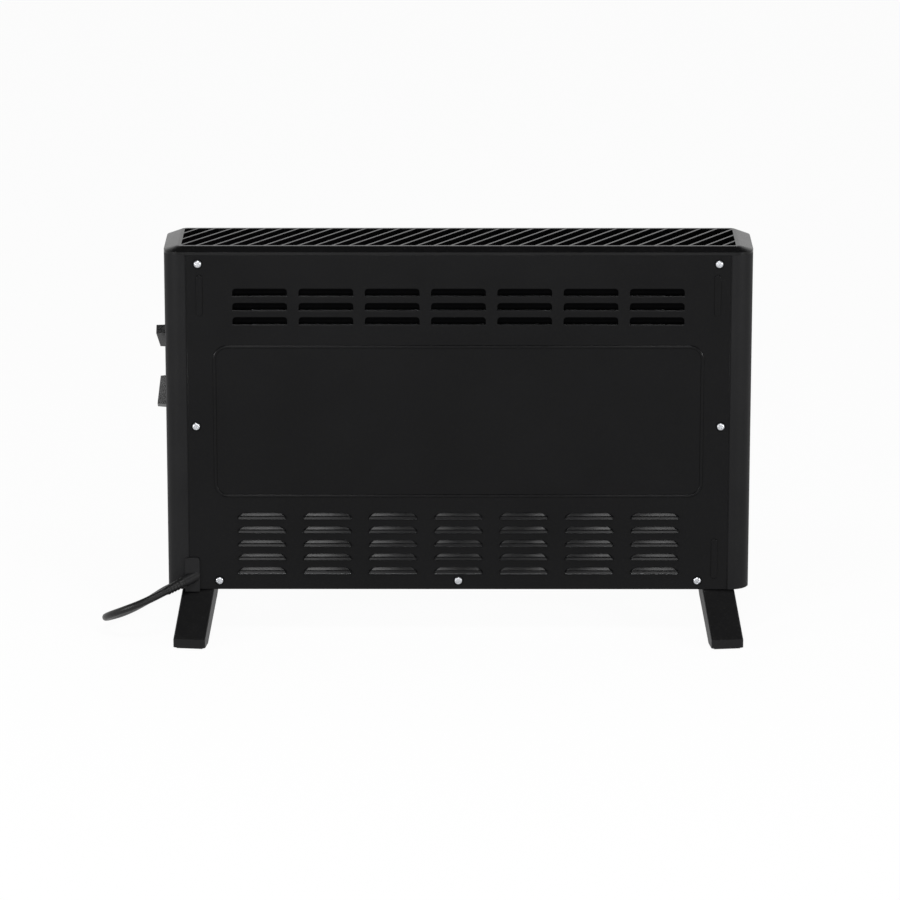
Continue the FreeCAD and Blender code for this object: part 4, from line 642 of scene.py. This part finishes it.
# stage: pale floor that reads as white, dark ceiling, softboxes to both sides of the camera
stageSet = {
    "floorSize": 14,
    "floorColour": (0.86, 0.86, 0.86, 1),
    "whiteShare": 0.95,
    "worldLight": 0.42,
    "white": (1, 1, 1, 1),
    "ceiling": (0.05, 0.05, 0.05, 1),
    "ceilingRange": (0.42, 0.72),  # height of a direction where the ceiling starts, and where it is full
    "lamps": [  # place, aim, width, height, watts
        ((0.27, 0.86, 1.60), (0.20, 0.0, 0.10), 0.30, 0.34, 6.5),
        ((-0.31, 0.86, 1.60), (-0.20, 0.0, 0.10), 0.22, 0.34, 5),
        ((0.27, 1.70, 0.40), (0.20, 0.0, 0.09), 0.30, 0.28, 2.6),
        ((-0.31, 1.70, 0.40), (-0.20, 0.0, 0.09), 0.22, 0.28, 2),
        ((1.55, 1.10, 0.42), (0.10, 0.0, 0.12), 0.25, 0.25, 13),
        ((-1.55, 1.10, 0.42), (-0.10, 0.0, 0.12), 0.25, 0.25, 13),
    ],
}


def seenDirectly(wire):
    path = wire.add("ShaderNodeLightPath")
    outs = path.out.node.outputs
    direct = Wire(wire.tree, outs["Is Camera Ray"]) + Wire(wire.tree, outs["Is Glossy Ray"]) \
        + Wire(wire.tree, outs["Is Transmission Ray"])
    return direct.clip(0.0, 1.0)


bpy.ops.object.select_all(action="DESELECT")
bpy.ops.mesh.primitive_plane_add(size=stageSet["floorSize"])
floor = bpy.context.object
floor.name = "studioFloor"
floorLook, wire = newTree("paleFloor")
matt = wire.add("ShaderNodeBsdfDiffuse", {}, {"Color": stageSet["floorColour"]})
white = wire.add("ShaderNodeEmission", {}, {"Color": stageSet["white"], "Strength": 1.0})
floorShader = wire.add("ShaderNodeMixShader", {}, {
    0: seenDirectly(wire) * stageSet["whiteShare"], 1: matt, 2: white})
wire.add("ShaderNodeOutputMaterial", {}, {"Surface": floorShader})
floor.data.materials.append(floorLook)

world = bpy.data.worlds.new("studioWorld")
scene.world = world
world.use_nodes = True
world.node_tree.nodes.clear()
wire = Wire(world.node_tree)
level = stageSet["worldLight"] + seenDirectly(wire) * (1 - stageSet["worldLight"])
way = wire.add("ShaderNodeTexCoord", output=0)
overhead = wire.add("ShaderNodeSeparateXYZ", {}, {"Vector": way}, 2).clip(*stageSet["ceilingRange"])
tint = (overhead * seenDirectly(wire)).blend(stageSet["white"], stageSet["ceiling"])
sky = wire.add("ShaderNodeBackground", {}, {"Color": tint, "Strength": level})
wire.add("ShaderNodeOutputWorld", {}, {"Surface": sky})

for i, (spot, aim, width, height, watts) in enumerate(stageSet["lamps"]):
    bpy.ops.object.light_add(type="AREA", location=spot)
    lamp = bpy.context.object
    lamp.name = f"softbox{i + 1}"
    lamp.data.shape = "RECTANGLE"
    lamp.data.size = width
    lamp.data.size_y = height
    lamp.data.energy = watts
    lamp.rotation_euler = (Vector(aim) - Vector(spot)).to_track_quat("-Z", "Y").to_euler()
print("stage lit")
